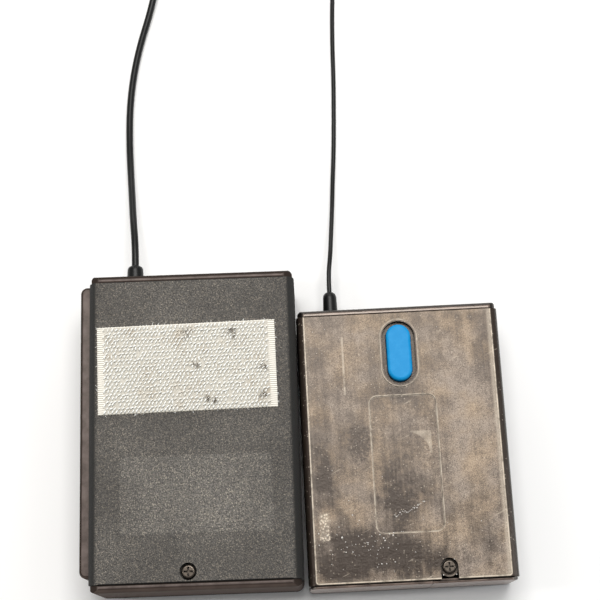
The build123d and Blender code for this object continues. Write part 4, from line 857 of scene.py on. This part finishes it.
def film_on_transmitter(paint, where, edge):
    """How much tan film is left on the cover, 0 to 1: clouds, streaks, rubbed areas and grit; less
    inside the button's well and along its edge, which is painted shade.
    """
    smeared = paint.warped(where, 0.12, 9.0)
    areas = [paint.times(paint.oval(smeared, *place), share) for *place, share in FILM_AREAS]
    clouds = paint.ramp(paint.noise(where, 0.16, 8.0, 0.75), 0.3, 0.7, -0.32, 0.3)
    down = transmitter_coords(paint, stretch=(1, 0.05, 1))
    streaks = paint.ramp(paint.noise(down, 0.5, 4.0, 0.7), 0.3, 0.7, -0.18, 0.14)
    in_label = paint.ramp(paint.outline(where, *LABEL), 0.2, -0.2, 0.0, -0.08)
    film = paint.total(FILM, clouds, streaks, in_label, *areas)
    pits = paint.times(paint.oval(where, (-13, 0), (10, 16)), paint.noise(where, 1.0, 3.0, 0.8))
    specks = paint.spots(paint.warped(where, 2.0, 0.5), 1.1, 0.6)
    well = paint.outline(where, *WELL)
    left = [
        paint.ramp(paint.noise(where, 3.8, 3.0, 0.8), 0.36, 0.62, 0.35, 1.42),  # grit
        paint.ramp(paint.noise(where, 1.2, 4.0, 0.75), 0.36, 0.64, 0.84, 1.14),  # blotches
        paint.ramp(pits, 0.33, 0.46, 1.0, 0.1),
        paint.ramp(specks, 0.0, 1.0, 1.0, 0.45),
        # painted shade: less film, so darker, inside the button's well and in a line along its edge
        paint.ramp(well, -0.95, -0.6, 0.25, 1.0),  # dark inside the button's well
        paint.calc("SUBTRACT", 1.0, paint.line(well, -0.55, 0.28)),  # and along its edge
        paint.ramp(edge, 0.1, -0.2),  # none past the cover's edge
    ]
    for share in left:
        film = paint.times(film, share)
    return film


def marks_on_transmitter(paint, where, edge):
    """Bright marks, 0 to 1: rims and edges that are partly rubbed and partly painted highlight, a
    painted highlight band inside the right edge, scratches, glue residue and a wiped wedge.
    """
    label = paint.outline(where, *LABEL)
    well = paint.outline(where, *WELL)
    rubbed = paint.noise(where, 0.35, 4.0, 0.7)
    x, _, _ = paint.axes(where)
    wedge = paint.ramp(paint.outline(where, *WEDGE), 0.15, -0.15)
    arc = paint.ramp(paint.outline(where, *ARC), -0.1, 0.1)
    residue = paint.ramp(paint.outline(where, *RESIDUE), 0.3, -0.3)
    dots = paint.ramp(paint.cells(where, 1.5), 0.2, 0.6, 1.0, 0.15)
    streak = paint.ramp(paint.outline(where, *STREAK), 0.25, -0.1)
    scratch = transmitter_coords(paint, 25, (0.12, 1.6, 1))
    scratches = paint.ramp(paint.noise(scratch, 0.9, 2.0, 0.5), 0.7, 0.76)
    patchy = paint.ramp(rubbed, 0.3, 0.6, 0.1, 0.5)
    return paint.total(
        # pale lines on the label's rim and the cover's edge: partly rubbed, partly painted
        # highlight
        paint.times(paint.line(label, 0.0, 0.4), paint.ramp(rubbed, 0.35, 0.6, 0.15, 0.8)),
        paint.times(paint.line(edge, 0.15, 0.32), paint.ramp(rubbed, 0.3, 0.6, 0.3, 1.0)),
        # a pale band just inside the cover's right edge: painted highlight
        paint.times(paint.line(edge, -0.5, 0.9), paint.ramp(x, 25.0, 26.5, 0.05, 0.32)),
        # a pale line on the well's rim: partly rubbed, partly painted highlight
        paint.times(paint.line(well, -0.05, 0.5), patchy),
        paint.times(paint.times(wedge, arc), paint.ramp(rubbed, 0.3, 0.6, 0.1, 0.36)),
        paint.times(residue, dots),
        paint.times(streak, patchy),
        paint.times(scratches, 0.3),
        paint.times(paint.spots(where, 1.3, 0.68), 0.55),
    )


def worn_gloss(paint):
    """Glossy dark moulding under a rubbed tan film, with scratches, pale edges that are partly worn
    and partly painted highlight, and painted shade on its side walls and in its grooves.
    """
    where = transmitter_coords(paint)
    edge = paint.outline(where, *COVER_FACE)
    film = film_on_transmitter(paint, where, edge)
    warmth = paint.ramp(paint.noise(where, 0.09, 3.0), 0.35, 0.65)
    hue = paint.mix(warmth, srgb("a99b8e"), srgb("b39f89"))
    color = paint.mix(film, srgb("322a25"), hue)
    color = paint.mix(marks_on_transmitter(paint, where, edge), color, srgb("ddd0bd"))
    # near black where the surface turns away from up, on edges and side walls: painted shade
    color = paint.mix(paint.facing_up(0.3), srgb("16130f"), color)
    # near black in grooves and corners: painted shade
    color = paint.mix(paint.ramp(paint.crevice(1.2), 0.3, 0.85), srgb("0c0a09"), color)
    relief = paint.bump(paint.noise(where, 1.8, 4.0, 0.75), 0.06)
    relief = paint.bump(paint.noise(where, 0.5, 3.0, 0.6), 0.05, relief)
    shine = paint.ramp(film, 0.05, 0.6, 0.22, 0.5)
    paint.set(base_color=color, roughness=shine, normal=relief)


def glossy_tray(paint):
    """Glossy moulding of the transmitter's front half: brown, with near-black side walls that are
    painted shade, a pale bottom end wall that is painted light, a painted shadow along the foot of
    the walls, and painted shade in its grooves.
    """
    where = transmitter_coords(paint)
    clouds = paint.noise(where, 0.2, 5.0, 0.6)
    handled = paint.ramp(clouds, 0.35, 0.65)
    color = paint.mix(handled, srgb("4a3f39"), srgb("75645b"))
    upward = paint.facing_up(0.93)
    _, _, z = paint.axes(where)
    # the pale bottom end wall is painted light; the near-black side walls are painted shade
    end = paint.mix(handled, srgb("74645c"), srgb("83726a"))
    walls = paint.mix(paint.bottom_end(), srgb("0f0d0c"), end)
    # near black along the foot of the walls: painted shadow
    walls = paint.mix(paint.ramp(z, 0.5, 4.0), srgb("0d0a09"), walls)
    color = paint.mix(upward, walls, color)
    # near black in grooves and corners: painted shade
    color = paint.mix(paint.ramp(paint.crevice(1.0), 0.25, 0.8), srgb("0d0b0a"), color)
    relief = paint.bump(paint.noise(where, 2.0, 3.0), 0.02)
    dull = paint.ramp(upward, 0, 1, 0.14, 0)
    shine = paint.calc("ADD", paint.ramp(clouds, 0.3, 0.7, 0.12, 0.22), dull)
    paint.set(base_color=color, normal=relief, roughness=shine)


def scuffed_blue(paint):
    """Plain saturated blue, faintly scuffed."""
    where = transmitter_coords(paint)
    scuffs = paint.ramp(paint.noise(where, 0.4, 5.0, 0.6), 0.4, 0.75)
    color = paint.mix(scuffs, srgb("0a8bca"), srgb("1f93d1"))
    paint.set(base_color=color, normal=paint.bump(paint.noise(where, 1.2, 3.0), 0.02))


def plain_moulding(paint):
    """Slightly uneven moulded surface in the paint's own colour, a little darker in its grooves,
    which is painted shade.
    """
    where = paint.coords()
    base = tuple(paint.shader.inputs["Base Color"].default_value)
    clouds = paint.ramp(paint.noise(where, 0.5, 4.0), 0.3, 0.7)
    color = paint.mix(clouds, scaled(base, 0.78), scaled(base, 1.15))
    # darker in grooves and corners: painted shade
    color = paint.mix(paint.ramp(paint.crevice(0.8), 0.2, 0.9), scaled(base, 0.35), color)
    paint.set(base_color=color, normal=paint.bump(paint.noise(where, 5.0, 2.0), 0.01))


def turned_metal(paint):
    """Bare metal with fine drawn lines, near black in its grooves, which is painted shade."""
    where = paint.coords()
    base = tuple(paint.shader.inputs["Base Color"].default_value)
    smooth = paint.shader.inputs["Roughness"].default_value
    lines = paint.noise(paint.coords(stretch=(0.2, 4.0, 4.0)), 1.0, 3.0)
    tarnish = paint.ramp(paint.noise(where, 0.8, 5.0, 0.7), 0.3, 0.7)
    color = paint.mix(tarnish, scaled(base, 0.6), base)
    # near black in grooves: painted shade
    groove_shade = (0.01, 0.009, 0.008, 1.0)
    color = paint.mix(paint.ramp(paint.crevice(0.6), 0.3, 0.9), groove_shade, color)
    roughness = paint.ramp(lines, 0.3, 0.7, smooth - 0.06, smooth + 0.12)
    paint.set(base_color=color, roughness=roughness, normal=paint.bump(lines, 0.006))


def printed_board(paint):
    """Green solder mask over copper tracks, with tinned pads in rows."""
    where = paint.coords()
    x, y, _ = paint.axes(where)
    lanes = paint.cells(paint.coords(stretch=(0.16, 0.55, 1)), 1.0, out=1)
    across = paint.calc("GREATER_THAN", paint.add("SeparateColor", lanes), 0.5)
    wave_x = paint.calc("SINE", paint.times(x, 2 * pi / PIN_PITCH))
    wave_y = paint.calc("SINE", paint.times(y, 2 * pi / PIN_PITCH))
    track_x = paint.times(paint.ramp(wave_x, 0.35, 0.5), across)
    track_y = paint.times(paint.ramp(wave_y, 0.35, 0.5), paint.calc("SUBTRACT", 1.0, across))
    tracks = paint.total(track_x, track_y)
    color = paint.mix(tracks, srgb("174a2b"), srgb("2c7a45"))
    peaks = paint.times(*[paint.calc("MAXIMUM", wave, 0.0) for wave in (wave_x, wave_y)])
    rows = paint.ramp(paint.noise(where, 0.12, 1.0), 0.55, 0.6)
    pads = paint.times(paint.ramp(peaks, 0.55, 0.65), rows)
    color = paint.mix(pads, color, srgb("cfcdc6"))
    paint.set(base_color=color, normal=paint.bump(tracks, 0.04))


def battery_wrap(paint):
    """Printed metal wrap, scuffed: dark below and copper-coloured above."""
    where = paint.coords()
    _, _, z = paint.axes(where)
    scuffs = paint.ramp(paint.noise(where, 0.6, 5.0, 0.7), 0.45, 0.75)
    color = paint.mix(paint.ramp(z, 14.5, 14.7), srgb("26282b"), srgb("a3683c"))
    color = paint.mix(paint.times(scuffs, 0.25), color, srgb("8d8a85"))
    paint.set(base_color=color, normal=paint.bump(scuffs, 0.01))


def woven_band(paint):
    """Dark woven tie: a fine twill."""
    where = paint.coords()
    x, y, z = paint.axes(where)
    along = paint.calc("SINE", paint.times(paint.calc("ADD", x, z), 2 * pi / TWILL))
    across = paint.calc("SINE", paint.times(paint.calc("SUBTRACT", y, z), 2 * pi / TWILL))
    weave = paint.times(along, across)
    color = paint.mix(paint.ramp(weave, -0.8, 0.8), srgb("1b1c20"), srgb("44464d"))
    paint.set(base_color=color, normal=paint.bump(weave, 0.06))


def open_foam(paint):
    """Black open-cell foam."""
    where = paint.coords()
    cells = paint.cells(where, 1.9)
    color = paint.mix(paint.ramp(cells, 0.1, 0.6), srgb("2e2e31"), srgb("0c0c0d"))
    relief = paint.bump(cells, -0.25)
    paint.set(base_color=color, normal=paint.bump(paint.noise(where, 5.0, 3.0), 0.1, relief))


def pierced_grille():
    """Black metal pierced with small round holes, for the microphone's front."""
    paint = Paint("pierced_grille", srgb("2b2b2e"), 0.38, metallic=0.5)
    holes = paint.ramp(paint.cells(paint.coords(), 1.7), 0.2, 0.3)
    # near black in the holes: painted shade
    color = paint.mix(holes, srgb("050505"), srgb("333336"))
    paint.set(base_color=color, normal=paint.bump(holes, 0.2))
    return paint.material


def warm_gloss(level):
    """Shader settings for brownish reflections."""
    return {"specular_tint": (1.0, 0.89, 0.8, 1.0), "specular_ior_level": level}


# base colour, roughness, recipe and further shader settings of each of the record's slots
FINISHES = {
    "charcoal_textured": (srgb("4f4c48"), 0.6, textured_charcoal, {}),
    "charcoal_smooth": (srgb("3a322e"), 0.36, satin_charcoal, warm_gloss(0.2)),
    "smoked_gloss": (srgb("6a5d52"), 0.35, worn_gloss, warm_gloss(0.32)),
    "smoked_tray": (srgb("3a302b"), 0.28, glossy_tray, warm_gloss(0.75)),
    "blue_button": (srgb("1590d3"), 0.42, scuffed_blue, {"specular_ior_level": 0.16}),
    "hook_tape": (srgb("e6e0d2"), 0.7, woven_cream, {}),
    "black_rubber": (srgb("0e0f0f"), 0.36, plain_moulding, {"specular_ior_level": 0.3}),
    "moulded_black": (srgb("2a2a2b"), 0.4, plain_moulding, {}),
    "screw_steel": (srgb("5b534b"), 0.3, turned_metal, {"metallic": 0.85}),
    "spring_steel": (srgb("b5b5b5"), 0.25, turned_metal, {"metallic": 1.0}),
    "battery_case": (srgb("2b2d30"), 0.3, battery_wrap, {"metallic": 0.5}),
    "snap_metal": (srgb("c9c8c4"), 0.2, turned_metal, {"metallic": 1.0}),
    "board_green": (srgb("1f5a34"), 0.35, printed_board, {}),
    "chip_black": (srgb("222224"), 0.45, plain_moulding, {}),
    "can_metal": (srgb("c4c3be"), 0.3, turned_metal, {"metallic": 1.0}),
    "capacitor_sleeve": (srgb("24284a"), 0.3, plain_moulding, {}),
    "lamp_red": (srgb("a3221d"), 0.15, plain_moulding, {}),
    "lamp_green": (srgb("2d8a3c"), 0.15, plain_moulding, {}),
    "black_metal": (srgb("252527"), 0.35, plain_moulding, {"metallic": 0.4}),
    "foam_black": (srgb("1d1d1f"), 0.9, open_foam, {}),
    "tie_band": (srgb("2b2c30"), 0.8, woven_band, {}),
}
_made = {}  # materials by slot


def finish_of(slot):
    """The material of one of the record's slots."""
    if slot not in _made:
        color, roughness, recipe, shader = FINISHES[slot]
        paint = Paint(slot, color, roughness, **shader)
        recipe(paint)
        _made[slot] = paint.material
    return _made[slot]


def paint_nodes():
    """Gives every CAD node the finish of its slot."""
    for subpart in frame["record"]["subparts"]:
        mesh = frame["nodes"][subpart["node"]].data
        mesh.materials.clear()
        grille = subpart["node"] == "mic_grille"
        mesh.materials.append(pierced_grille() if grille else finish_of(subpart["material_slot"]))


make_camera()
make_leads()
make_studio()
paint_nodes()
make_tape()
make_dust()
make_windscreen()
